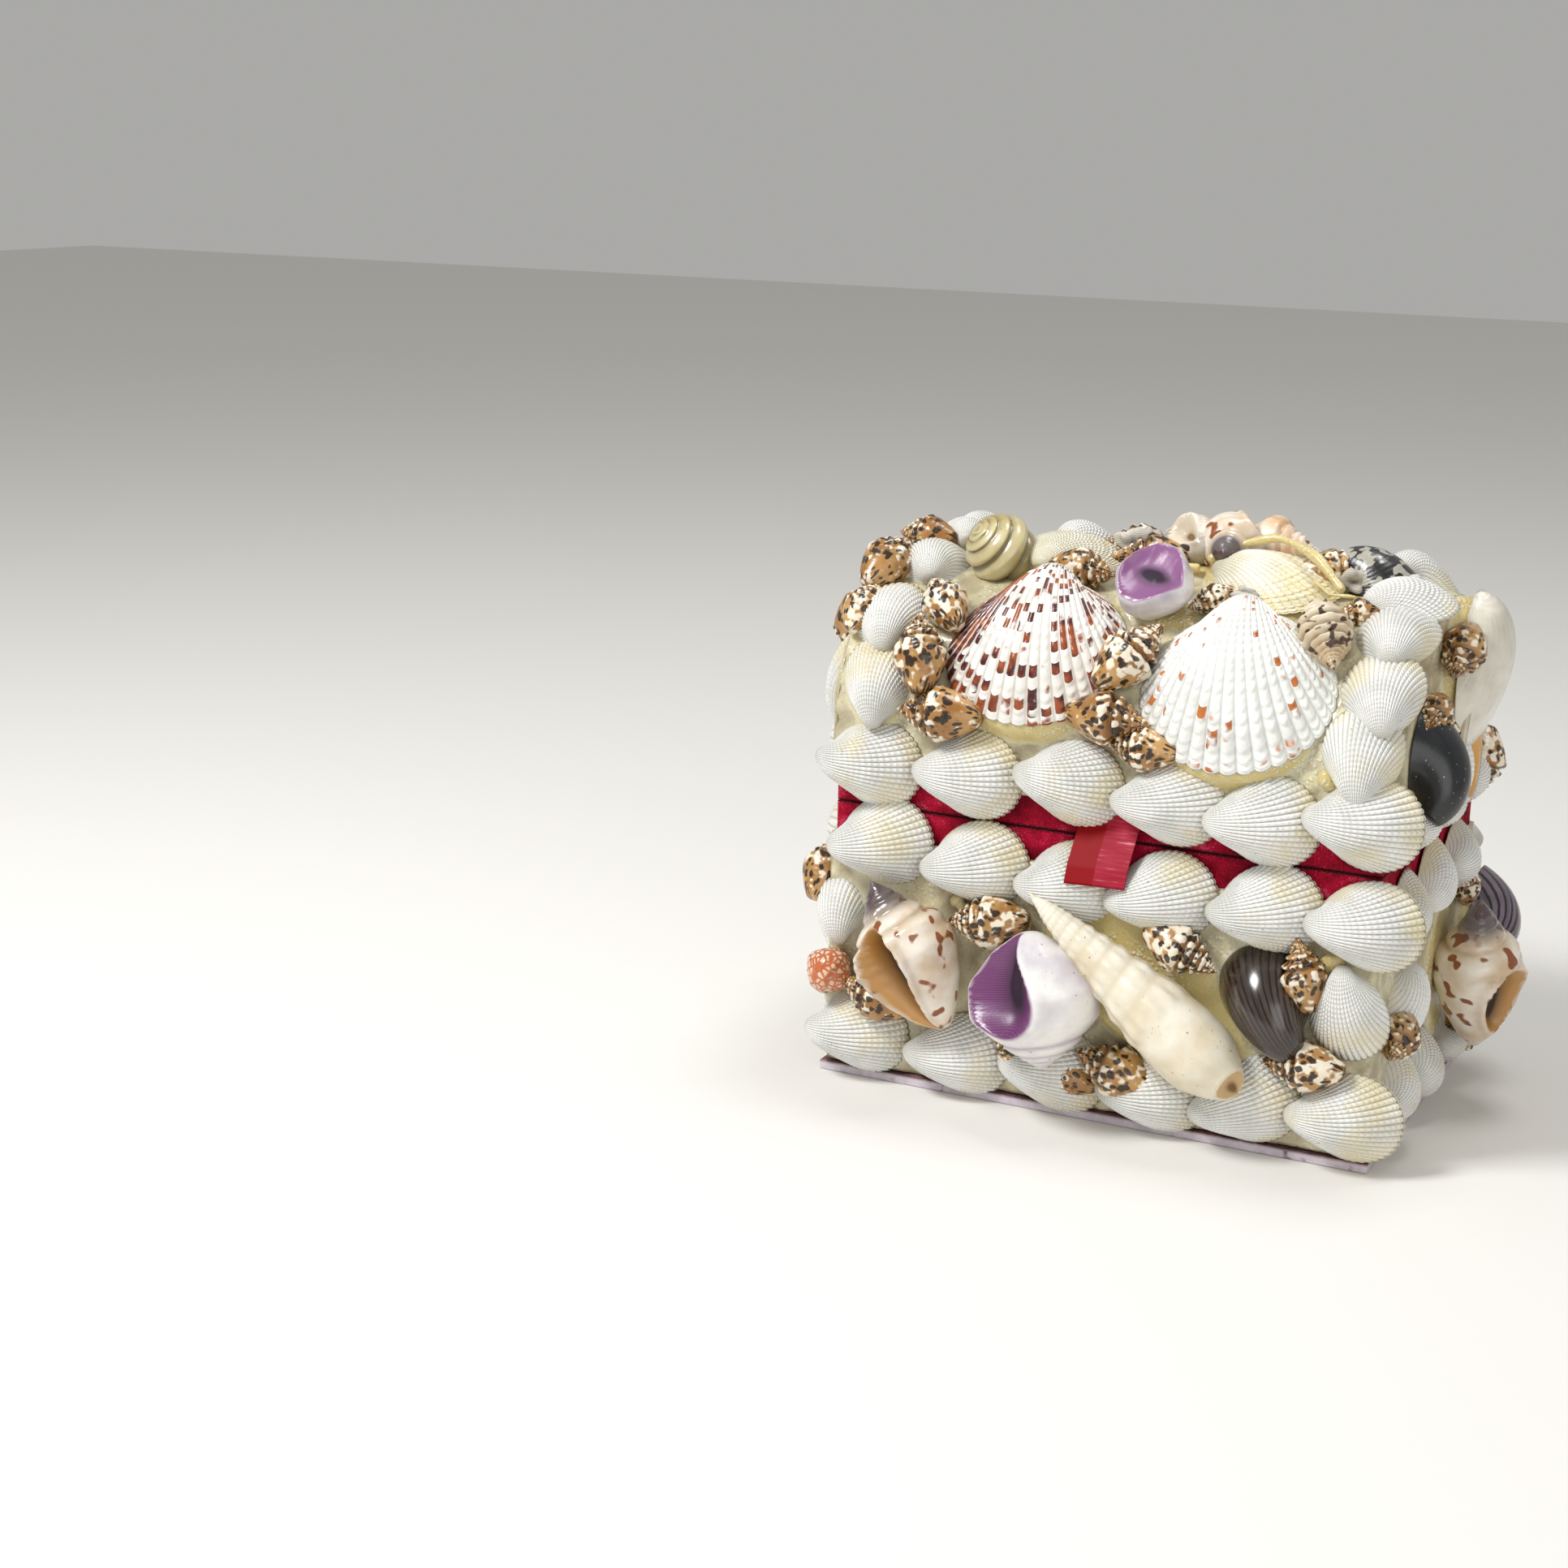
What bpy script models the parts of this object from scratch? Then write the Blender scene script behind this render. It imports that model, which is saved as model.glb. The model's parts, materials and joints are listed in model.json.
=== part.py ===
"""A keepsake box with a domed lift-off lid, covered all over with sea shells set in glue.

The carcass is three thin-walled pieces: a board underneath, an open box and a
hollow barrel-vaulted lid. Shells sit on every face. A shell's place is given on the
face that carries it: how far across, as a share of the half width, and how far up, as
a share of the face's height, or on the vault as the angle round it from the front.
The larger shells are pieces of their own. The small ones of a face are one piece with
the thin bed of glue that holds them.
"""
import math

import bmesh
import bpy
import numpy as np
from mathutils import Matrix, Vector

MM = 0.001

# Carcass
BOX_WIDTH = 155 * MM
BOX_DEPTH = 102 * MM
SEAM_HEIGHT = 80 * MM
LID_RIM = 22 * MM
LID_RISE = 42 * MM
WALL = 3 * MM
FLOOR = 3 * MM
BOARD_THICKNESS = 2.5 * MM
BOARD_OVERHANG = 2.5 * MM
VAULT_STEPS = 12

# Fits
GAP = 0.3 * MM
GLUE_THICKNESS = 1.0 * MM
GLUE_BARE_SEAM = 9 * MM
BED_TOP = GAP + GLUE_THICKNESS
SEAT = BED_TOP + 0.5 * MM
SINK = 0.3 * MM
TRIM_GROWTH = 0.45 * MM
HULL_GRAIN = 0.8 * MM

# Clean-up after cuts
MERGE_DISTANCE = 0.0001 * MM
FLAT_ANGLE = math.radians(7)

# Ribbon pull tab
RIBBON_WIDTH = 17 * MM
RIBBON_THICKNESS = 0.8 * MM
RIBBON_ABOVE_SEAM = 8 * MM
RIBBON_BELOW_SEAM = 11 * MM
RIBBON_STAND_OFF = 9 * MM
RIBBON_ACROSS = 0.05

# Shell lengths
COCKLE = 29 * MM
SMALL_COCKLE = 25 * MM
LARGE_COCKLE = 30 * MM
DOVE = 22 * MM
SCALLOP = 46 * MM
CONCH = 46 * MM
CERITH = 77 * MM
PURPLE_SNAIL = 39 * MM
MOON_SNAIL = 25 * MM
NERITE = 27 * MM
OYSTER = 46 * MM
WHELK = 19 * MM

# Colours, linear, with roughness
FINISHES = {
    "velvet": ((0.38, 0.004, 0.02), 0.9),
    "board": ((0.45, 0.37, 0.42), 0.7),
    "ribbon": ((0.62, 0.0, 0.003), 0.35),
    "glue_and_small_shells": ((0.62, 0.52, 0.36), 0.4),
    "white_shell": ((0.87, 0.84, 0.78), 0.35),
    "cream_shell": ((0.78, 0.66, 0.46), 0.35),
    "purple_shell": ((0.55, 0.42, 0.62), 0.35),
    "dark_shell": ((0.06, 0.04, 0.035), 0.3),
}

# How far a valve's beak is swept round its hinge, and how fast that eases off
BEAK_TURN = math.radians(130)
BEAK_EASE = 1.4
# Share of a unit shell within which the points of its tip are one
TIP_MERGE = 0.0001
# Glue pads under shells that stand off the bed: the least stand-off that has one, and
# the radius of the pad's foot and top as a share of the shell's half breadth
PAD_LEAST = 4 * MM
PAD_FOOT = 0.85
PAD_TOP = 0.65
VALVES = ("cockle", "plain_cockle", "scallop", "plain_scallop", "oyster")

X_AXIS = Vector((1, 0, 0))
Y_AXIS = Vector((0, 1, 0))

# Each flat face: its across direction, its outward direction, half its span, its
# distance from the middle of the box, the height it starts at and its own height
FACES = {
    "base_front": (X_AXIS, -Y_AXIS, BOX_WIDTH / 2, BOX_DEPTH / 2, 0, SEAM_HEIGHT),
    "base_back": (-X_AXIS, Y_AXIS, BOX_WIDTH / 2, BOX_DEPTH / 2, 0, SEAM_HEIGHT),
    "base_right": (Y_AXIS, X_AXIS, BOX_DEPTH / 2, BOX_WIDTH / 2, 0, SEAM_HEIGHT),
    "base_left": (-Y_AXIS, -X_AXIS, BOX_DEPTH / 2, BOX_WIDTH / 2, 0, SEAM_HEIGHT),
    "rim_front": (X_AXIS, -Y_AXIS, BOX_WIDTH / 2, BOX_DEPTH / 2, SEAM_HEIGHT, LID_RIM),
    "rim_back": (-X_AXIS, Y_AXIS, BOX_WIDTH / 2, BOX_DEPTH / 2, SEAM_HEIGHT, LID_RIM),
    "gable_right": (Y_AXIS, X_AXIS, BOX_DEPTH / 2, BOX_WIDTH / 2, SEAM_HEIGHT, LID_RIM + LID_RISE),
    "gable_left": (-Y_AXIS, -X_AXIS, BOX_DEPTH / 2, BOX_WIDTH / 2, SEAM_HEIGHT, LID_RIM + LID_RISE),
}


def clear_scene():
    """Remove every object of the scene that the script starts in."""
    for thing in list(bpy.data.objects):
        bpy.data.objects.remove(thing, do_unlink=True)


def new_collection(name):
    """Make a collection in the scene."""
    collection = bpy.data.collections.new(name)
    bpy.context.scene.collection.children.link(collection)
    return collection


def make_finish(name):
    """Make the plain material of one finish."""
    colour, roughness = FINISHES[name]
    material = bpy.data.materials.new(name)
    material.use_nodes = True
    shader = material.node_tree.nodes["Principled BSDF"]
    shader.inputs["Base Color"].default_value = (*colour, 1)
    shader.inputs["Roughness"].default_value = roughness
    shader.inputs["Metallic"].default_value = 0
    return material


def add_object(name, mesh, collection, place=None):
    """Link a mesh into a collection as an object at a place."""
    thing = bpy.data.objects.new(name, mesh)
    collection.objects.link(thing)
    if place is not None:
        thing.matrix_world = place
    return thing


def hide_tool(tool):
    """Show a cutter as a wire only, in no render."""
    tool.hide_render = True
    tool.display_type = "WIRE"


def mesh_from_bmesh(name, bm):
    """Turn a bmesh into a mesh and free it."""
    mesh = bpy.data.meshes.new(name)
    bm.to_mesh(mesh)
    bm.free()
    return mesh


def block_mesh(name, size, centre):
    """A box of a given size about a centre."""
    bm = bmesh.new()
    bmesh.ops.create_cube(bm, size=1)
    bmesh.ops.scale(bm, vec=size, verts=bm.verts)
    bmesh.ops.translate(bm, vec=centre, verts=bm.verts)
    return mesh_from_bmesh(name, bm)


def lid_profile(offset, bottom):
    """Side view of the lid, set off outwards: up the front, over the vault, down the back."""
    half, rise, spring = BOX_DEPTH / 2 + offset, LID_RISE + offset, SEAM_HEIGHT + LID_RIM
    points = [(-half, bottom)]
    for step in range(VAULT_STEPS + 1):
        angle = math.pi * step / VAULT_STEPS
        points.append((-half * math.cos(angle), spring + rise * math.sin(angle)))
    points.append((half, bottom))
    return points


def profile_solid(name, offset, bottom, start, end):
    """The lid's side view carried along the box from one place across to another."""
    bm = bmesh.new()
    ring = [bm.verts.new((start, y, z)) for y, z in lid_profile(offset, bottom)]
    side = bm.faces.new(ring)
    pulled = bmesh.ops.extrude_face_region(bm, geom=[side])
    far_verts = [item for item in pulled["geom"] if isinstance(item, bmesh.types.BMVert)]
    bmesh.ops.translate(bm, vec=(end - start, 0, 0), verts=far_verts)
    bmesh.ops.recalc_face_normals(bm, faces=bm.faces)
    return mesh_from_bmesh(name, bm)


def bake(thing):
    """Replace an object's mesh by what its modifiers make of it."""
    graph = bpy.context.evaluated_depsgraph_get()
    mesh = bpy.data.meshes.new_from_object(thing.evaluated_get(graph))
    thing.modifiers.clear()
    thing.data = mesh


def keep_largest_body(thing):
    """Drop the crumbs that a cut leaves beside the main body."""
    bm = bmesh.new()
    bm.from_mesh(thing.data)
    bmesh.ops.remove_doubles(bm, verts=bm.verts, dist=MERGE_DISTANCE)
    left = set(bm.faces)
    bodies = []
    while left:
        front = [left.pop()]
        body = []
        while front:
            face = front.pop()
            body.append(face)
            near = {other for edge in face.edges for other in edge.link_faces}
            front.extend(near & left)
            left -= near
        bodies.append(body)
    bodies.sort(key=lambda body: sum(face.calc_area() for face in body))
    crumbs = [face for body in bodies[:-1] for face in body]
    bmesh.ops.delete(bm, geom=crumbs, context="FACES")
    bm.to_mesh(thing.data)
    bm.free()
    merge_flat_faces(thing)


def merge_flat_faces(thing):
    """Merge the slivers that cuts leave in nearly flat places, as far as the mesh stays closed."""
    for angle in (FLAT_ANGLE, FLAT_ANGLE / 4, 0):
        bm = bmesh.new()
        bm.from_mesh(thing.data)
        if angle:
            bmesh.ops.dissolve_limit(bm, angle_limit=angle, verts=bm.verts, edges=bm.edges)
            along_edges = [vert for vert in bm.verts if len(vert.link_edges) == 2]
            bmesh.ops.dissolve_verts(bm, verts=along_edges)
        bmesh.ops.triangulate(bm, faces=bm.faces)
        if all(len(edge.link_faces) == 2 for edge in bm.edges):
            break
    bm.to_mesh(thing.data)
    bm.free()


def combine(thing, operation, tools):
    """Join to an object, or cut from it, a list of tools in one exact Boolean."""
    if not tools:
        return
    group = bpy.data.collections.new("tools")
    bpy.context.scene.collection.children.link(group)
    for tool in tools:
        group.objects.link(tool)
        hide_tool(tool)
    step = thing.modifiers.new(operation.lower(), "BOOLEAN")
    step.operand_type = "COLLECTION"
    step.collection = group
    step.operation = operation
    step.solver = "EXACT"
    bake(thing)
    for tool in tools:
        bpy.data.objects.remove(tool, do_unlink=True)
    bpy.data.collections.remove(group)


def clearance_hull(thing):
    """The swollen convex hull of a piece, which cuts clearance into a neighbour."""
    bm = bmesh.new()
    for vert in thing.data.vertices:
        bm.verts.new(vert.co)
    bmesh.ops.remove_doubles(bm, verts=bm.verts, dist=HULL_GRAIN)
    hull = bmesh.ops.convex_hull(bm, input=bm.verts)
    loose = [item for item in hull["geom_interior"] if isinstance(item, bmesh.types.BMVert)]
    bmesh.ops.delete(bm, geom=loose, context="VERTS")
    bmesh.ops.recalc_face_normals(bm, faces=bm.faces)
    bm.normal_update()
    for vert in bm.verts:
        vert.co += vert.normal * TRIM_GROWTH
    tool = bpy.data.objects.new("clearance", mesh_from_bmesh("clearance", bm))
    tool.matrix_world = thing.matrix_world
    return tool


def world_box(thing):
    """Lowest and highest corner of an object in the box's own frame."""
    count = len(thing.data.vertices)
    points = np.empty(count * 3)
    thing.data.vertices.foreach_get("co", points)
    turn = np.array(thing.matrix_world)
    world = points.reshape(-1, 3) @ turn[:3, :3].T + turn[:3, 3]
    return world.min(axis=0), world.max(axis=0)


def near_each_other(one, other):
    """Whether the boxes of two objects come within a clearance of each other."""
    low_a, high_a = world_box(one)
    low_b, high_b = world_box(other)
    reach = 2 * TRIM_GROWTH
    return bool(np.all(low_a - reach < high_b) and np.all(low_b - reach < high_a))


def clear_of(thing, neighbours, block=None):
    """Cut a piece back to a clearance from the box and from the neighbours that it meets."""
    tools = [clearance_hull(other) for other in neighbours if near_each_other(thing, other)]
    if block is not None:
        tools.append(block)
    combine(thing, "DIFFERENCE", tools)


def make_carcass(parts, finishes):
    """Board, open box and hollow lid; the board is handed on to cut the shells over its rim."""
    board_size = (BOX_WIDTH + 2 * BOARD_OVERHANG, BOX_DEPTH + 2 * BOARD_OVERHANG, BOARD_THICKNESS)
    board_mesh = block_mesh("bottom_board", board_size, (0, 0, BOARD_THICKNESS / 2))
    board = add_object("bottom_board", board_mesh, parts)
    board.data.materials.append(finishes["board"])

    box_low = BOARD_THICKNESS + GAP
    box_high = SEAM_HEIGHT - GAP / 2
    box_size = (BOX_WIDTH, BOX_DEPTH, box_high - box_low)
    box_middle = (box_low + box_high) / 2
    base = add_object("base_box", block_mesh("base_box", box_size, (0, 0, box_middle)), parts)
    room_size = (BOX_WIDTH - 2 * WALL, BOX_DEPTH - 2 * WALL, box_high - box_low)
    room_mesh = block_mesh("base_room", room_size, (0, 0, box_middle + FLOOR))
    room = bpy.data.objects.new("base_room", room_mesh)
    combine(base, "DIFFERENCE", [room])
    base.data.materials.append(finishes["velvet"])

    lid_low = SEAM_HEIGHT + GAP / 2
    lid = add_object("lid", profile_solid("lid", 0, lid_low, -BOX_WIDTH / 2, BOX_WIDTH / 2), parts)
    inner = BOX_WIDTH / 2 - WALL
    attic_mesh = profile_solid("lid_room", -WALL, lid_low - WALL, -inner, inner)
    attic = bpy.data.objects.new("lid_room", attic_mesh)
    combine(lid, "DIFFERENCE", [attic])
    lid.data.materials.append(finishes["velvet"])
    return board


def make_ribbon(parts, finishes, keepers):
    """Doubled ribbon that hangs from the lid over the seam and lies on the shell below it."""
    wall = -BOX_DEPTH / 2 - SEAT
    path = [
        (wall, SEAM_HEIGHT + RIBBON_ABOVE_SEAM),
        (wall, SEAM_HEIGHT + RIBBON_ABOVE_SEAM / 2),
        (wall - RIBBON_STAND_OFF / 3, SEAM_HEIGHT),
        (wall - RIBBON_STAND_OFF * 4 / 5, SEAM_HEIGHT - RIBBON_BELOW_SEAM / 2),
        (wall - RIBBON_STAND_OFF, SEAM_HEIGHT - RIBBON_BELOW_SEAM),
    ]
    left = RIBBON_ACROSS * BOX_WIDTH / 2 - RIBBON_WIDTH / 2
    bm = bmesh.new()
    rows = [[bm.verts.new((left + side * RIBBON_WIDTH, y, z)) for side in (0, 1)] for y, z in path]
    for upper, lower in zip(rows, rows[1:]):
        bm.faces.new((upper[0], lower[0], lower[1], upper[1]))
    ribbon = add_object("ribbon_tab", mesh_from_bmesh("ribbon_tab", bm), parts)
    thick = ribbon.modifiers.new("thickness", "SOLIDIFY")
    thick.thickness = RIBBON_THICKNESS
    thick.offset = 1
    bake(ribbon)
    clear_of(ribbon, keepers)
    keep_largest_body(ribbon)
    ribbon.data.materials.append(finishes["ribbon"])
    return ribbon


def valve_mesh(name, around, bands, curl, breadth=0.93, rib=0.0, pointed=0.0, flatten=1.0):
    """One valve of a bivalve, one unit long, its beak at -X and its margin on z = 0.

    The margin is an oval through the hinge, narrowed towards it if it is pointed. It is
    swept round the hinge line while it shrinks evenly, as the shell grew, so the beak
    curls over the hinge. A UV sphere gives the grid: its rings are growth lines, closer
    towards the margin, and its lower pole closes the underside. A shallow valve is
    flattened.
    """
    bm = bmesh.new()
    bmesh.ops.create_uvsphere(bm, u_segments=around, v_segments=bands, radius=1)
    last_ring = math.pi * (1 - 1 / bands)
    for vert in bm.verts:
        polar = math.acos(max(-1, min(1, vert.co.z)))
        azimuth = math.atan2(vert.co.y, vert.co.x) + math.pi / around
        share = polar / last_ring
        if share > 1.001:
            vert.co = (0, 0, 0)
            continue
        angle = BEAK_TURN * max(0, 1 - share) ** BEAK_EASE
        size = math.exp(-curl * angle)
        ridge = 1 + rib * math.cos(azimuth * around / 2 - math.pi / 2)
        oval = (1 - math.cos(azimuth)) / 2
        taper = ((oval + 0.02) / 0.6) ** pointed
        reach = oval * ridge * size
        side = -breadth / 2 * math.sin(azimuth) * taper * ridge * size
        if polar < 0.001:
            reach, side = size / 2, 0
        vert.co = (reach * math.cos(angle) - 0.5, side, reach * math.sin(angle) * flatten)
    return mesh_from_bmesh(name, bm)


def turned_mesh(name, profile, steps, axis_height, flatten=1.0):
    """A snail turned from its profile, one unit long, its tip at -X, lying on z = 0.

    The profile is pairs of distance from the tip and radius. The Screw modifier turns it
    round Z, and the body is then laid along X at its own height.
    """
    bm = bmesh.new()
    verts = [bm.verts.new((radius, 0, -along)) for along, radius in profile]
    for upper, lower in zip(verts, verts[1:]):
        bm.edges.new((upper, lower))
    line = add_object(name, mesh_from_bmesh(name, bm), bpy.context.scene.collection)
    screw = line.modifiers.new("turn", "SCREW")
    screw.axis = "Z"
    screw.steps = steps
    screw.render_steps = steps
    screw.use_merge_vertices = True
    screw.merge_threshold = TIP_MERGE
    bake(line)
    mesh = line.data
    bpy.data.objects.remove(line)
    half_step = Matrix.Rotation(math.pi / steps, 4, "Z")
    lay_down = Matrix.Rotation(math.radians(-90), 4, "Y")
    mesh.transform(lay_down @ half_step)
    bm = bmesh.new()
    bm.from_mesh(mesh)
    bmesh.ops.remove_doubles(bm, verts=bm.verts, dist=TIP_MERGE)
    for vert in bm.verts:
        vert.co = (vert.co.x - 0.5, vert.co.y, vert.co.z * flatten + axis_height)
    bmesh.ops.recalc_face_normals(bm, faces=bm.faces)
    bm.to_mesh(mesh)
    bm.free()
    return mesh


def whorled(whorls, spire, radius, waist):
    """Profile of a screw-like spire: radii grow with the distance and dip at each suture."""
    points = [(0, 0)]
    for whorl in range(1, whorls + 1):
        along = spire * (whorl / whorls) ** 0.9
        full = radius * (whorl / whorls) ** 0.75
        points.append((along - spire / whorls * 0.35, full))
        points.append((along, full * waist))
    return points


def shell_kinds():
    """The unit meshes of every kind of shell."""
    dove = [(0, 0), (0.3, 0.17), (0.58, 0.28), (0.88, 0.15), (1, 0)]
    cerith = whorled(6, 0.72, 0.135, 0.9) + [(0.82, 0.135), (0.94, 0.095), (1, 0)]
    globe = [(0, 0), (0.08, 0.12), (0.22, 0.29), (0.42, 0.44), (0.64, 0.43), (0.88, 0.22), (1, 0)]
    conch = [(0, 0), (0.08, 0.06), (0.28, 0.2), (0.4, 0.33), (0.6, 0.3), (0.84, 0.15), (1, 0)]
    whelk = [(0, 0), (0.12, 0.12), (0.28, 0.18), (0.42, 0.3), (0.62, 0.33), (0.88, 0.16), (1, 0)]
    return {
        "cockle": valve_mesh("cockle", 9, 4, 0.85, breadth=0.87, pointed=0.3),
        "plain_cockle": valve_mesh("plain_cockle", 7, 3, 0.85, breadth=0.87, pointed=0.3),
        "scallop": valve_mesh("scallop", 40, 4, 1.0, 1.2, rib=0.022, pointed=0.22, flatten=0.78),
        "plain_scallop": valve_mesh("plain_scallop", 22, 4, 1.0, 1.1, rib=0.02, pointed=0.22, flatten=0.78),
        "oyster": valve_mesh("oyster", 10, 4, 1.5, breadth=0.98),
        "nerite": valve_mesh("nerite", 10, 6, 0.5, breadth=0.95),
        "dove": turned_mesh("dove", dove, 6, 0.225),
        "plain_dove": turned_mesh("plain_dove", dove, 5, 0.2),
        "cerith": turned_mesh("cerith", cerith, 8, 0.11),
        "globe": turned_mesh("globe", globe, 10, 0.33, flatten=0.85),
        "conch": turned_mesh("conch", conch, 10, 0.25, flatten=0.85),
        "whelk": turned_mesh("whelk", whelk, 8, 0.24),
    }


def seat(face, across, up):
    """Foot point, across direction and outward direction of a place on a face."""
    if face == "vault":
        angle = math.radians(up)
        half, rise = BOX_DEPTH / 2, LID_RISE
        height = SEAM_HEIGHT + LID_RIM + rise * math.sin(angle)
        foot = Vector((across / 100 * BOX_WIDTH / 2, -half * math.cos(angle), height))
        out = Vector((0, -math.cos(angle) / half, math.sin(angle) / rise)).normalized()
        return foot, X_AXIS, out
    side, out, half_span, distance, low, height = FACES[face]
    foot = side * (across / 100 * half_span) + out * distance
    foot.z = low + up / 100 * height
    return foot, side, out


def place_on(face, across, up, turn, lift):
    """Where a shell lies: its X along the turned direction and its Z outwards."""
    foot, side, out = seat(face, across, up)
    rise = out.cross(side)
    angle = math.radians(turn)
    along = side * math.cos(angle) + rise * math.sin(angle)
    over = out.cross(along)
    place = Matrix((along, over, out)).transposed().to_4x4()
    place.translation = foot + out * lift
    return place


def seat_height(kind, face):
    """How high a single shell lies: a valve clears the flat glue, the others are sunk a little."""
    return SEAT if kind in VALVES and face != "vault" else SEAT - SINK


def make_shell(name, kinds, kind, length, place, collection):
    """One shell of a kind at its real length."""
    mesh = kinds[kind].copy()
    mesh.transform(Matrix.Scale(length, 4))
    return add_object(name, mesh, collection, place)


def add_egg(thing, length, shape, operation):
    """Cut an egg-shaped mouth into a shell, or join an egg-shaped lip to it."""
    size, centre, turn = shape
    bm = bmesh.new()
    bmesh.ops.create_uvsphere(bm, u_segments=10, v_segments=6, radius=length)
    bmesh.ops.scale(bm, vec=size, verts=bm.verts)
    spin = Matrix.Rotation(math.radians(turn), 3, "Z")
    bmesh.ops.rotate(bm, cent=(0, 0, 0), matrix=spin, verts=bm.verts)
    bmesh.ops.translate(bm, vec=Vector(centre) * length, verts=bm.verts)
    tool = bpy.data.objects.new("egg", mesh_from_bmesh("egg", bm))
    tool.matrix_world = thing.matrix_world
    combine(thing, operation, [tool])


# Egg-shaped lips and mouths of single shells: the egg's half sizes, its centre, both in
# shares of the shell's length, and its turn in degrees
LIPS = {"conch": ((0.4, 0.17, 0.14), (0.04, -0.3, 0.2), 8)}
MOUTHS = {
    "conch": ((0.3, 0.07, 0.2), (0.05, -0.24, 0.42), 8),
    "purple_mouth_snail": ((0.27, 0.16, 0.3), (0.14, 0.2, 0.62), -12),
    "lid_moon_snail": ((0.3, 0.24, 0.3), (-0.05, -0.08, 0.75), 0),
    "lid_right_mussel": ((0.36, 0.26, 0.12), (0.02, 0, 0.25), 0),
}

# Shells that are pieces of their own: name, kind, face, across, up, length, turn, lift.
# Turn is the way from the beak or tip to the far end, from 0 for rightwards, as seen
# from outside, up to 90 for upwards.
LARGE_SHELLS = (
    ("long_cerith", "cerith", "base_front", 21, 53, CERITH, -37, 2 * MM, "cream_shell"),
    ("conch", "conch", "base_front", -63, 53, CONCH, -58, 0, "cream_shell"),
    ("purple_mouth_snail", "globe", "base_front", -13, 45, PURPLE_SNAIL, 98, 0, "purple_shell"),
    ("brown_nerite", "nerite", "base_front", 64, 56, NERITE, 125, 0, "dark_shell"),
    ("lid_spotted_scallop", "scallop", "vault", -29, 35, SCALLOP, -88, 0, "white_shell"),
    ("lid_white_scallop", "scallop", "vault", 45, 29, 1.04 * SCALLOP, -84, 0, "white_shell"),
    ("lid_back_scallop_left", "plain_scallop", "vault", -38, 88, 0.78 * SCALLOP, 85, 0, "white_shell"),
    ("lid_back_scallop_right", "plain_scallop", "vault", 44, 76, 0.78 * SCALLOP, -15, 1 * MM, "white_shell"),
    ("lid_moon_snail", "globe", "vault", 7, 58, MOON_SNAIL, 160, 1 * MM, "purple_shell"),
    ("lid_yellow_snail", "globe", "vault", -63, 70, MOON_SNAIL, 35, 0, "cream_shell"),
    ("lid_black_nerite", "nerite", "gable_right", -60, 45, NERITE, 60, 1 * MM, "dark_shell"),
    ("lid_left_nerite", "nerite", "gable_left", 30, 52, 0.95 * NERITE, 100, 0, "dark_shell"),
    ("lid_right_oyster", "oyster", "gable_right", 24, 69, OYSTER, -70, 4 * MM, "white_shell"),
    ("lid_right_mussel", "oyster", "gable_right", 10, 42, 0.8 * OYSTER, -80, 2 * MM, "cream_shell"),
    ("base_right_conch", "conch", "base_right", 25, 48, CONCH, -80, 1 * MM, "cream_shell"),
    ("base_right_nerite", "nerite", "base_right", 90, 59, 0.95 * NERITE, 30, 4 * MM, "dark_shell"),
    ("top_grey_whelk", "whelk", "vault", 8, 92, 1.25 * WHELK, -60, 2 * MM, "cream_shell"),
    ("top_broken_conch", "whelk", "vault", 22, 88, 1.4 * WHELK, 100, 2 * MM, "cream_shell"),
    ("top_orange_whelk", "whelk", "vault", 35, 98, 1.2 * WHELK, 170, 3 * MM, "cream_shell"),
    ("top_black_turban", "nerite", "vault", 78, 88, 0.85 * NERITE, 0, 0, "dark_shell"),
)

# Rows of single cockles: across, up and turn of each
LID_RIM_ROW = ((-84, 59, -2), (-46, 58, -2), (-8, 66, -8), (28, 60, 3), (61, 52, 4), (95, 66, -2))
BASE_UPPER_ROW = ((-79, 88, 8), (-42, 85, 8), (-6, 84, 7), (27, 84, 10), (64, 85, 8), (98, 84, 1))
BASE_LOWER_ROW = ((-86, 17, 1), (-46, 15, 2), (-9, 15, -4), (28, 15, 2), (61, 18, 20), (96, 18, 2))
LID_LEFT_COLUMN = ((-86, 18, 100), (-88, 42, 103), (-84, 70, 110), (-84, 96, 115))
LID_RIGHT_COLUMN = ((91, 13, 93), (94, 34, 100), (92, 56, 98), (92, 74, 40))

# Small shells of a face: across, up, share of a dove's length and turn of each
DOVES_BASE_FRONT = (
    (-79, 33, 1.05, -16),
    (-36, 67, 1.15, 9),
    (35, 68, 1.05, 155),
    (78, 66, 0.95, -76),
    (-25, 22, 0.8, -38),
    (-4, 16, 0.8, -13),
    (14, 22, 1.15, -17),
    (80, 35, 1.05, 2),
)
DOVES_LID_FRONT = (
    (-58, 9, 1.15, 1),
    (-69, 27, 1.15, -75),
    (-67, 46, 1.0, -51),
    (-96, 61, 1.1, -100),
    (-97, 42, 0.85, -100),
    (-93, 84, 0.9, -10),
    (-24, 68, 0.95, 172),
    (7, 34, 1.15, -123),
    (4, 14, 1.1, 177),
    (17, 6, 0.9, -1),
    (27, 61, 0.7, 40),
    (71, 48, 1.1, 115),
    (77, 63, 0.6, 20),
    (62, 84, 1.0, 200),
    (-5, 82, 1.0, 15),
)
DOVES_BASE_LEFT = ((88, 72, 1.0, -40), (45, 50, 1.0, -85), (86, 30, 0.75, 170), (-20, 52, 1.0, 40))
DOVES_BASE_RIGHT = ((-85, 44, 0.9, 20), (58, 73, 0.7, -60), (60, 18, 1.0, 150))
DOVES_LID_LEFT = ((55, 70, 1.0, 70), (-20, 76, 1.0, 160), (-60, 40, 1.0, 80))
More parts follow.
